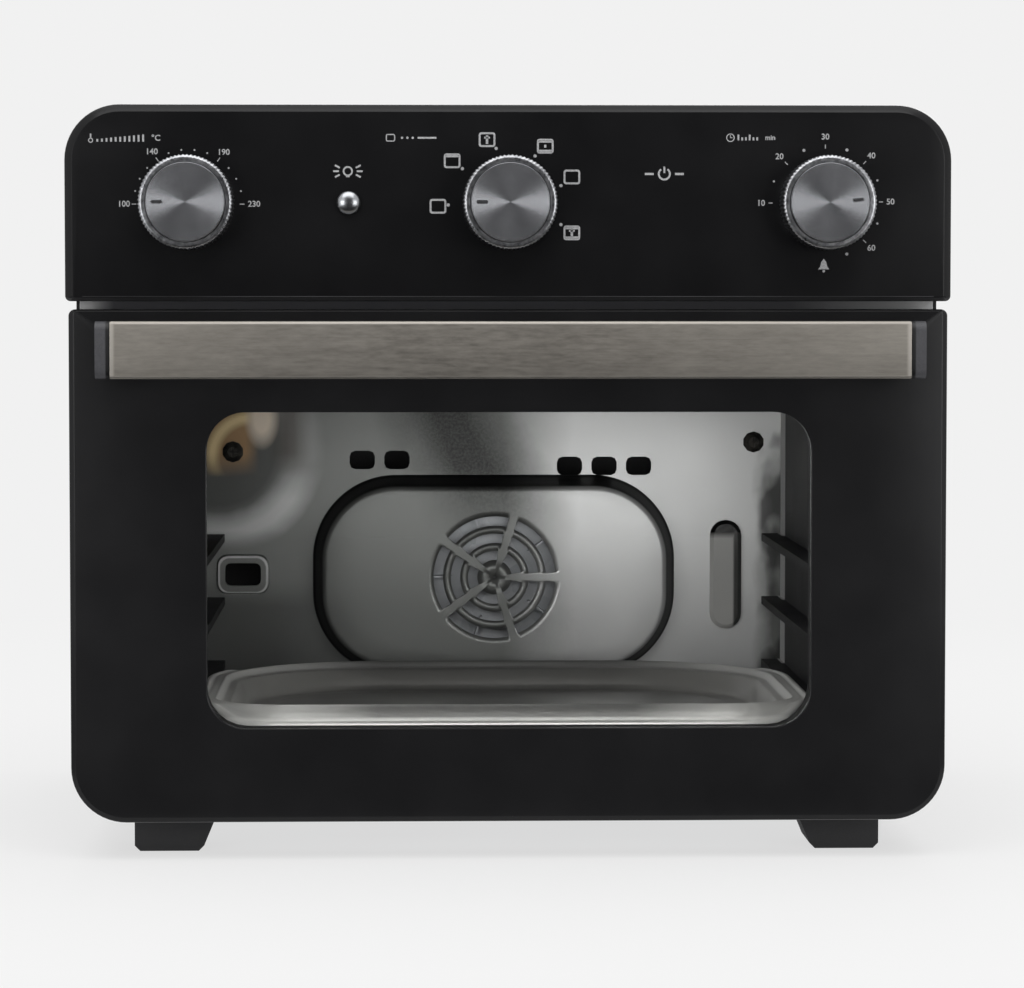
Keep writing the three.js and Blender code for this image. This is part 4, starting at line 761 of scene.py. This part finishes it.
def doorPiece():
    front, back = doorLow.y, doorHigh.y
    edge, bevel, wall, soft = (door[k] * mm for k in ("edge", "bevel", "wall", "soft"))

    def outer(inset, depth):
        return roundedLoop(
            doorLow.x + inset, doorHigh.x - inset, doorLow.z + inset, doorHigh.z - inset * door["topInset"],
            door["corner"] * mm - inset, tightCorner(door["topCorner"], inset),
        ), depth

    def inner(inset, depth):
        left, right, foot, top = (side * mm for side in door["window"])
        corner = door["windowCorner"] * mm + inset
        return roundedLoop(left - inset, right + inset, foot - inset, top + inset, corner, corner), depth

    rings = [
        inner(0, front + wall), inner(0, front + soft), inner(soft * 0.3, front + soft * 0.3), inner(soft, front),
        outer(edge + soft, front), outer(edge * 0.93, front + bevel * 0.06), outer(edge * 0.1, front + bevel * 0.9),
        outer(0, front + bevel + soft), outer(0, back - soft), outer(soft, back), outer(wall, back),
        outer(wall, front + wall),
    ]
    points = lofted(*zip(*rings))
    faces = gridFaces(*points.shape[:2], looped=True)
    made = pieceOf("doorFace", points, faces, "doorGloss", "door", 20)
    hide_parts("door_frame")


doorPiece()
print("fascia and door made")


# The knobs: a plated, finely knurled ring round a disc turned on a lathe
knob = {
    "radius": 21.25, "crown": 1.6, "crownReach": 1.15, "bore": 6.2, "recess": 3.0, "knurls": 72, "knurlDepth": 0.5,
    "ringSteps": 432, "discSteps": 96, "discRadius": 17.7, "gap": 0.25, "turnPitch": 0.42, "turnHeight": 0.028,
}
marks = {"temperature": 180, "function": 180, "timer": 4.5}
pointer = {  # a short pressed line, dark in its floor and bright on its lip: length, width, height, finish
    "Mark": (4.4, 0.9, 0.12, "darkPlastic"),
    "MarkLip": (5.2, 1.7, 0.03, "chrome"),
}
pointerReach = 12.6  # from the knob's centre to the pointer's middle


# A profile turned about the knob's axis: straight sides, a quarter ellipse over the crown, and a step down inside.
# The knurls take a raised cosine of the angle off the radius, all of it on the sides and less and less over the crown.
def knobRing(name):
    centre, front, back = middleOf(name + "_knob")
    r, crown, bore, recess = (knob[k] * mm for k in ("radius", "crown", "bore", "recess"))
    inside = (knob["discRadius"] + knob["gap"]) * mm
    profile = [
        (bore, back), (r - 0.6 * mm, back), (r - 0.2 * mm, back - 0.4 * mm), (r, back - 1.2 * mm),
        (r, (front + back) / 2), (r, front + crown),
    ]
    share = [0, 0.6, 1, 1, 1, 1]
    for step in range(1, 9):
        t = step / 8 * math.pi / 2
        profile.append((r - crown * (1 - math.cos(t)) * knob["crownReach"], front + crown * (1 - math.sin(t))))
        share.append(1 - step / 8)
    profile += [
        (inside + 0.4 * mm, front), (inside + 0.1 * mm, front + 0.2 * mm), (inside, front + 0.5 * mm),
        (inside, front + recess), (bore, front + recess),
    ]
    share += [0] * 5
    points = turned(centre, profile, knob["ringSteps"], knob["knurls"], knob["knurlDepth"] * mm, share)
    faces = gridFaces(*points.shape[:2], looped=True)
    made = pieceOf(name + "Ring", points, faces, "knobRim", name + "_control", 30)
    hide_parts(name + "_knob")
    return centre


# A profile turned about the knob's axis, whose face is ringed: its depth is the front plus the rings' height
# times one plus the sine of the radius over the pitch.
def knobDisc(name, markAngle):
    centre, front, back = middleOf(name + "_knob_cap")
    r, pitch, height = (knob[k] * mm for k in ("discRadius", "turnPitch", "turnHeight"))
    radius = np.arange(0.2 * mm, r - 0.4 * mm, pitch / 6)
    depth = front + height * (1 + np.sin(2 * math.pi * radius / pitch))
    profile = [(weld, front + height), *zip(radius, depth)]
    profile += [(r - 0.3 * mm, front + 0.04 * mm), (r, front + 0.3 * mm), (r, back), (weld, back)]
    points = turned(centre, profile, knob["discSteps"])
    faces = gridFaces(*points.shape[:2])
    made = pieceOf(name + "Disc", points, faces, "spunMetal", name + "_control", 40)
    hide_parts(name + "_knob_cap")
    # each part of the pointer is a flat bar with half-round ends, carried a little way along Y
    a = math.radians(markAngle)
    along, across = np.array([math.cos(a), math.sin(a)]), np.array([-math.sin(a), math.cos(a)])
    for title, (wide, tall, lift, finish) in pointer.items():
        turn = np.linspace(0, 2 * math.pi, 24, endpoint=False)
        half = (wide - tall) / 2
        loop = np.stack([np.cos(turn) * tall / 2 + np.sign(np.cos(turn)) * half, np.sin(turn) * tall / 2], axis=-1) * mm
        flat = np.array(centre) + (pointerReach * mm + loop[:, :1]) * along + loop[:, 1:] * across
        rows = lofted([flat, flat], [front - lift * mm, front + 0.2 * mm])
        pieceOf(name + title, rows, cappedFaces(rows), finish, name + "_control", 40)


knobCentres = {}
for name, markAngle in marks.items():
    knobCentres[name] = knobRing(name)
    knobDisc(name, markAngle)
print("knobs made")


# The light button: a plated dome in a collar
button = {"radius": 5.3, "dome": 2.6, "shoulder": 6.0, "stem": 0.8, "steps": 64}


# A quarter ellipse turned about the button's axis: the radius goes with the sine and the depth with the cosine
def buttonPiece():
    centre, front, back = middleOf("light_button")
    r = button["radius"] * mm
    turn = np.linspace(0, math.pi / 2, 13)[1:]
    dome = zip(r * np.sin(turn), front + button["dome"] * mm * (1 - np.cos(turn)))
    profile = [(weld, front), *dome, (r, front + button["shoulder"] * mm), (r * button["stem"], back), (weld, back)]
    points = turned(centre, profile, button["steps"])
    faces = gridFaces(*points.shape[:2])
    made = pieceOf("lightDome", points, faces, "chrome", "light_button", 40)
    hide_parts("light_button")
    return centre


buttonCentre = buttonPiece()

# The handle's bar: a flat bar with softly rounded long edges
handle = {"soft": 1.3, "ends": 0.4, "endShare": 0.985}


# A rectangle in Y and Z with quarter circles at its corners, carried along X and drawn in a little at both ends
def handleBar():
    hLow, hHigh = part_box("door_handle")
    soft, ends = handle["soft"] * mm, handle["ends"] * mm
    loop = roundedLoop(hLow.y, hHigh.y, hLow.z, hHigh.z, soft, soft, 6)
    middle = loop.mean(axis=0)
    tip = handle["endShare"]
    places = [(hLow.x, tip), (hLow.x + ends, 1.0), (0, 1.0), (hHigh.x - ends, 1.0), (hHigh.x, tip)]
    points = np.array([
        np.stack([np.full(len(loop), x), *(middle + (loop - middle) * share).T], axis=-1) for x, share in places
    ])
    made = pieceOf("handleBar", points, cappedFaces(points), "brushedHandle", "door", 30)
    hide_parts("door_handle")


handleBar()
print("handle made")


# The tray: a pressed pan with round corners, wider ones at the rear, a rolled rim, a ridge and a stepped side
tray = {
    "corner": 88.0, "frontCorner": 44.0, "leastCorner": 4.0, "roll": 2.1, "sheet": 0.8, "droop": 7.2,
    "rearDroop": (0.52, 0.36), "frontDroop": (0.8, 0.16),  # where it starts on the way out, and over how much
    "section": [  # inset, height under the rim, share of the droop, from the roll to the middle
        (4.4, -0.9, 0.86), (5.4, -0.5, 0.62), (6.6, -0.3, 0.38), (7.8, -0.4, 0.2), (8.6, -0.15, 0.08), (9.3, 0.0, 0.0),
        (10.0, -0.4, 0), (10.6, -1.6, 0), (11.2, -2.6, 0), (11.8, -3.1, 0), (12.4, -3.2, 0), (15.2, -3.2, 0),
        (15.8, -3.4, 0), (16.6, -4.2, 0), (19.6, -11.0, 0), (20.6, -12.8, 0), (21.8, -13.7, 0), (23.2, -14.0, 0),
        (30.0, -14.0, 0), (32.0, -13.6, 0), (34.0, -13.6, 0), (36.0, -14.0, 0), (60.0, -14.0, 0),
    ],
}


# Each row is the outline moved inwards and down by the section's next point, after an arc for the roll. The edge
# droops at the front and the rear, and stays level along the sides, where it lies on the runners.
def trayPiece():
    tLow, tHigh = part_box("baking_tray")
    roll = tray["roll"]
    turn = np.radians(np.linspace(-110, 128, 18))
    section = [(roll - roll * math.cos(a), -roll + roll * math.sin(a), 1) for a in turn]
    middle, reach = (tLow.y + tHigh.y) / 2, (tHigh.y - tLow.y) / 2
    rows = []
    for inset, drop, share in section + tray["section"]:
        front, rear = (max(tray[k] - inset, tray["leastCorner"]) * mm for k in ("frontCorner", "corner"))
        inset = inset * mm
        loop = roundedLoop(tLow.x + inset, tHigh.x - inset, tLow.y + inset, tHigh.y - inset, front, rear, 28)
        out = (loop[:, 1] - middle) / reach
        (rearFrom, rearOver), (frontFrom, frontOver) = tray["rearDroop"], tray["frontDroop"]
        end = np.clip(np.where(out > 0, (out - rearFrom) / rearOver, (-out - frontFrom) / frontOver), 0, 1)
        end = end * end * (3 - 2 * end)
        height = tHigh.z + (drop - tray["droop"] * share * end) * mm
        rows.append(np.stack([loop[:, 0], loop[:, 1], height], axis=-1))
    points = np.array(rows)
    count, columns = points.shape[:2]
    faces = gridFaces(count, columns) + [list(range((count - 1) * columns, count * columns))]
    made = pieceOf("trayPan", points, faces, "traySteel", "tray", 60)
    thicken(made, made.data.polygons[-1].normal.z < 0, tray["sheet"])
    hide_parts("baking_tray")


trayPiece()


# The fan cover: a shallow pan with rings of air slots, its sides drawn back to the wall
fanCover = {
    "corner": 44.0, "draft": 5.0, "lip": 3.0, "sheet": 1.2, "hole": 0.6, "rim": 3.0,
    "rings": 3, "spokes": 5, "first": 9.0, "pitch": 9.0, "width": 5.0, "rib": 4.0,
    "side": ((6.6, 0.012), (5.6, 0.05), (5.0, 0.12), (3.6, 0.4), (1.6, 0.8), (0.7, 0.95), (0.0, 1.0)),  # inset, depth
}


# Circles round the middle grow into the rounded outline, and the last rows go back to the wall by the side's insets.
# The slots are the faces between two circles that lie clear of a spoke.
def fanCoverPiece():
    fLow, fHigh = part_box("fan_cover")
    cx, cz = (fLow.x + fHigh.x) / 2, (fLow.z + fHigh.z) / 2
    front, depth = fLow.y, fHigh.y - fLow.y
    columns = 240
    angle = np.linspace(0, 2 * math.pi, columns, endpoint=False)

    # How far the rounded outline lies along each angle: the flat side, the flat top, or the corner's circle
    def outline(inset):
        r = (fanCover["corner"] - inset) * mm
        w, h = (fHigh.x - fLow.x) / 2 - inset * mm, (fHigh.z - fLow.z) / 2 - inset * mm
        c, s = np.abs(np.cos(angle)) + 1e-9, np.abs(np.sin(angle)) + 1e-9
        toCorner = c * (w - r) + s * (h - r)
        corner = toCorner + np.sqrt(np.maximum(toCorner**2 - (w - r) ** 2 - (h - r) ** 2 + r**2, 0))
        return np.where(w * s / c <= h - r, w / c, np.where(h * c / s <= w - r, h / s, corner))

    flat = outline(fanCover["draft"] + fanCover["lip"])
    starts = [fanCover["first"] + k * fanCover["pitch"] for k in range(fanCover["rings"])]
    radii = [fanCover["hole"] * mm] + [r * mm for start in starts for r in (start, start + fanCover["width"])]
    rim = radii[-1] + fanCover["rim"] * mm
    rows = [(r, front) for r in radii]
    rows += [(rim + (flat - rim) * share, front) for share in (0.0, 0.35, 0.7, 1.0)]
    rows += [(outline(inset), front + depth * along) for inset, along in fanCover["side"]]
    points = lofted([around(cx, cz, r, angle) for r, y in rows], [y for r, y in rows])
    faces = np.array(gridFaces(len(rows), columns)).reshape(len(rows) - 1, columns, 4)
    keep = np.ones(faces.shape[:2], bool)
    spoke = 2 * math.pi / fanCover["spokes"]
    between = (angle + math.pi / columns) % spoke
    for k, start in enumerate(starts):
        rib = fanCover["rib"] / 2 / (start + fanCover["width"] / 2)
        keep[1 + 2 * k] = (between < rib) | (between > spoke - rib)
    made = pieceOf("fanCoverPan", points, faces[keep].tolist(), "coverSteel", "housing", 40)
    thicken(made, sum(face.normal.y * face.area for face in made.data.polygons) > 0, fanCover["sheet"])
    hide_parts("fan_cover")


fanCoverPiece()


# Printing on the fascia: dial marks, oven symbols and plain numbers
class Sheet:  # flat shapes gathered into one thin printed piece
    def __init__(self, centre):
        self.centre = np.array(centre)
        self.points = []
        self.faces = []

    def put(self, points, faces):  # points in millimetres from the centre
        start = sum(len(p) for p in self.points)
        self.points.append(np.asarray(points, float) * mm + self.centre)
        self.faces += [[start + i for i in face] for face in faces]

    def dot(self, x, z, r):  # a circle of twelve points
        self.put(around(x, z, r, np.linspace(0, 2 * math.pi, 12, endpoint=False)), [range(12)])

    def line(self, x0, z0, x1, z1, wide=0.42):  # both ends moved half the width to each side
        a, b = np.array([x0, z0]), np.array([x1, z1])
        side = (b - a) / np.linalg.norm(b - a)
        side = np.array([-side[1], side[0]]) * wide / 2
        self.put([a - side, b - side, b + side, a + side], [range(4)])

    def ring(self, x, z, r, wide=0.42, start=0, end=360):  # two arcs, half the width outside and inside the radius
        steps = 28
        turn = np.radians(np.linspace(start, end, steps + 1))
        faces = [(i, i + 1, steps + 2 + i, steps + 1 + i) for i in range(steps)]
        self.put(np.concatenate([around(x, z, r + wide / 2, turn), around(x, z, r - wide / 2, turn)]), faces)

    def frame(self, x, z, wide, tall, corner, line):  # a rounded rectangle, and a second one inside it
        loops = []
        for inset, radius in ((0, corner), (line, corner - line * 0.7)):
            w, h = wide / 2 - inset, tall / 2 - inset
            loops.append(roundedLoop(x - w, x + w, z - h, z + h, radius, radius, 4))
        count = len(loops[0])
        faces = [(i, (i + 1) % count, count + (i + 1) % count, count + i) for i in range(count)]
        self.put(np.concatenate(loops), faces)

    def words(self, text, x, z, tall):  # plain numbers and units, as a flat mesh
        curve = bpy.data.curves.new("figures", "FONT")
        curve.body = text
        curve.size = tall / 0.7  # the font's figures are 0.7 of its size
        curve.align_x, curve.align_y = "CENTER", "CENTER"
        curve.resolution_u = 3
        curve.offset = 0.07  # a heavier stroke
        holder = placed("figures", curve)
        bpy.context.view_layer.update()
        mesh = bpy.data.meshes.new_from_object(holder.evaluated_get(bpy.context.evaluated_depsgraph_get()))
        flat = np.empty(len(mesh.vertices) * 3)
        mesh.vertices.foreach_get("co", flat)
        flat = flat.reshape(-1, 3)[:, :2]
        self.put(flat + (x, z), [list(face.vertices) for face in mesh.polygons])
        bpy.data.objects.remove(holder)
        bpy.data.meshes.remove(mesh)
        bpy.data.curves.remove(curve)

    def press(self, name):
        points = lofted([np.concatenate(self.points)], [fasciaLow.y - printed["lift"] * mm])[0]
        mesh = bpy.data.meshes.new(name)
        mesh.from_pydata(points.tolist(), [], self.faces)
        if sum(face.normal.y for face in mesh.polygons) > 0:
            mesh.flip_normals()
        mesh.materials.append(finishes["printing"].material)
        made = placed(name, mesh)
        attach(made, "housing")


def polar(angle, radius):  # a point on a circle: the radius times the cosine and the sine of the angle in degrees
    return radius * math.cos(math.radians(angle)), radius * math.sin(math.radians(angle))


printed = {"lift": 0.05, "dotRadius": 24.4, "figureRadius": 28.4, "figureHeight": 2.6, "iconSize": (7.5, 6.6)}

# The crease above the fascia's lower bevel, its pale colour a painted highlight
crease = {"radius": 0.22, "height": 2.1, "ends": 8.0, "sunk": 0.05}


# A half circle in Y and Z, its flat side just inside the fascia's face, carried along X
def creaseBead():
    r, ends = crease["radius"] * mm, crease["ends"] * mm
    turn = np.linspace(-math.pi / 2, math.pi / 2, 7)
    y = fasciaLow.y + crease["sunk"] * mm - r * np.cos(turn)
    z = fasciaLow.z + crease["height"] * mm + r * np.sin(turn)
    places = (fasciaLow.x + ends, 0.0, fasciaHigh.x - ends)
    rows = np.array([np.stack([np.full(len(turn), x), y, z], axis=-1) for x in places])
    pieceOf("creaseBead", rows, cappedFaces(rows), "creaseWear", "housing", 60)


creaseBead()


# The dials: dots and lines on a circle round the knob, with figures on a wider one
dials = {  # what is moved outwards from the dots' circle or the figures' one, in millimetres
    "temperature": {
        "shift": (0.4, -0.6), "count": 14, "start": 180, "step": 180 / 13, "tick": (-1.2, 0.9),
        "dotOut": 0, "dotSize": 0.42, "bigDots": {},
        "figures": {0: ("100", 0.4), 4: ("140", 0.1), 9: ("190", -0.2), 13: ("230", 1.2)},
    },
    "timer": {
        "shift": (0, 0.5), "count": 12, "start": 181, "step": 22.6, "tick": (-0.3, 1.5),
        "dotOut": 0.9, "dotSize": 0.5, "bigDots": {3: 0.7, 5: 0.7, 11: 0.7},
        "figures": {step: (str(10 + 5 * step), 0.9) for step in range(0, 12, 2)},
    },
}


def dialSheet(name):
    look = dials[name]
    sheet = Sheet(np.array(knobCentres[name]) + np.array(look["shift"]) * mm)
    for step in range(look["count"]):
        angle = look["start"] - step * look["step"]
        if step in look["figures"]:
            figure, out = look["figures"][step]
            start, end = (polar(angle, printed["dotRadius"] + tick) for tick in look["tick"])
            sheet.line(*start, *end)
            sheet.words(figure, *polar(angle, printed["figureRadius"] + out), printed["figureHeight"])
        else:
            size = look["bigDots"].get(step, look["dotSize"])
            sheet.dot(*polar(angle, printed["dotRadius"] + look["dotOut"]), size)
    return sheet


def temperatureDial():
    sheet = dialSheet("temperature")
    # a thermometer and a rising scale head the dial
    x, z = -43.5, 29.5
    sheet.ring(x, z - 1.0, 0.9)
    sheet.line(x, z - 0.2, x, z + 2.0, 0.7)
    for step in range(11):
        sheet.line(x + 3 + step * 2.05, z - 1.6, x + 3 + step * 2.05, z - 0.4 + step * 0.2, 0.85)
    sheet.words("°C", x + 29.2, z, 2.6)
    sheet.press("temperaturePrint")


ovenSigns = [  # each sign's place, its dot's place, and what its box holds
    ((-32.2, -1.5), (-27.6, -0.9), ()),
    ((-25.8, 18.9), (-21.2, 15.4), ("top",)),
    ((-10.1, 28.4), (-6.0, 24.5), ("fan",)),
    ((16.1, 25.5), (11.5, 21.1), ("top", "low", "spot")),
    ((28.1, 11.7), (23.2, 7.8), ()),
    ((28.1, -13.4), (23.2, -9.7), ("top", "low", "fan")),
]


# A dot and a box for each sign, with thick lines in the box for what it holds
def functionDial():
    sheet = Sheet(knobCentres["function"])
    wide, tall = printed["iconSize"]
    w, h = wide / 2 - 0.8, tall / 2 - 1.2
    for (x, z), dot, held in ovenSigns:
        sheet.dot(*dot, 0.75)
        sheet.frame(x, z, wide, tall, 1.2, 0.85)
        if "top" in held:
            sheet.line(x - w, z + h, x + w, z + h, 1.0)
        if "low" in held:
            sheet.line(x - w, z - h, x + w, z - h, 1.0)
        if "fan" in held:
            sheet.line(x, z - 1.9, x, z + 1.9, 1.1)
            sheet.line(x - 1.3, z + 0.9, x + 1.3, z + 0.9, 0.8)
        if "spot" in held:
            sheet.line(x - 0.5, z, x + 0.5, z, 1.3)
    # a box, three dots and a line head the dial
    x, z = -53.5, 29.2
    sheet.frame(x, z, 4.2, 3.4, 0.8, 0.45)
    for step in range(3):
        sheet.dot(x + 5.2 + step * 2.4, z, 0.55)
    sheet.line(x + 12.2, z, x + 20.6, z, 0.8)
    sheet.press("functionPrint")


def timerDial():
    sheet = dialSheet("timer")
    # a bell stands for the end of the time
    x, z = -0.8, -28.4
    bell = [(-2.5, -1.9), (2.5, -1.9), (1.6, -0.6), (1.1, 1.4), (0, 2.9), (-1.1, 1.4), (-1.6, -0.6)]
    sheet.put(np.array(bell) + (x, z), [range(7)])
    sheet.dot(x, z - 2.7, 0.6)
    # a clock face and a unit head the dial
    x, z = -43.2, 28.9
    sheet.ring(x, z, 1.7)
    sheet.line(x, z, x, z + 1.2, 0.35)
    sheet.line(x, z, x + 0.9, z, 0.35)
    for step in range(6):
        sheet.line(x + 3.6 + step * 1.7, z - 1.2, x + 3.6 + step * 1.7, z + (1.4 if step % 3 == 0 else 0.2), 0.8)
    sheet.words("min", x + 18.0, z, 2.2)
    sheet.press("timerPrint")


# A lamp's sign above the button, and a switch-on sign between the dials
def symbolPrints():
    lamp = Sheet((buttonCentre[0] - 0.3 * mm, buttonCentre[1] + 13.6 * mm))
    lamp.ring(0, 0.6, 1.9, 0.75)
    lamp.line(-0.8, -1.8, 0.8, -1.8, 0.5)
    for side in (-1, 1):
        for x0, z0, x1, z1 in ((4.0, 0.6, 6.6, 0.6), (3.6, 2.1, 5.8, 3.3), (3.6, -0.9, 5.8, -2.1)):
            lamp.line(side * x0, z0, side * x1, z1, 0.8)
    lamp.press("lightPrint")
    power = Sheet((middleOf("pilot_lamp")[0][0] - 1.6 * mm, buttonCentre[1] + 13.1 * mm))
    power.ring(0, 0, 2.5, 0.85, 125, 415)
    power.line(0, 0.4, 0, 3.3, 0.85)
    for side in (-1, 1):
        power.line(side * 4.8, 0, side * 8.8, 0, 1.0)
    power.press("powerPrint")


temperatureDial()
functionDial()
timerDial()
symbolPrints()
print("printing made")
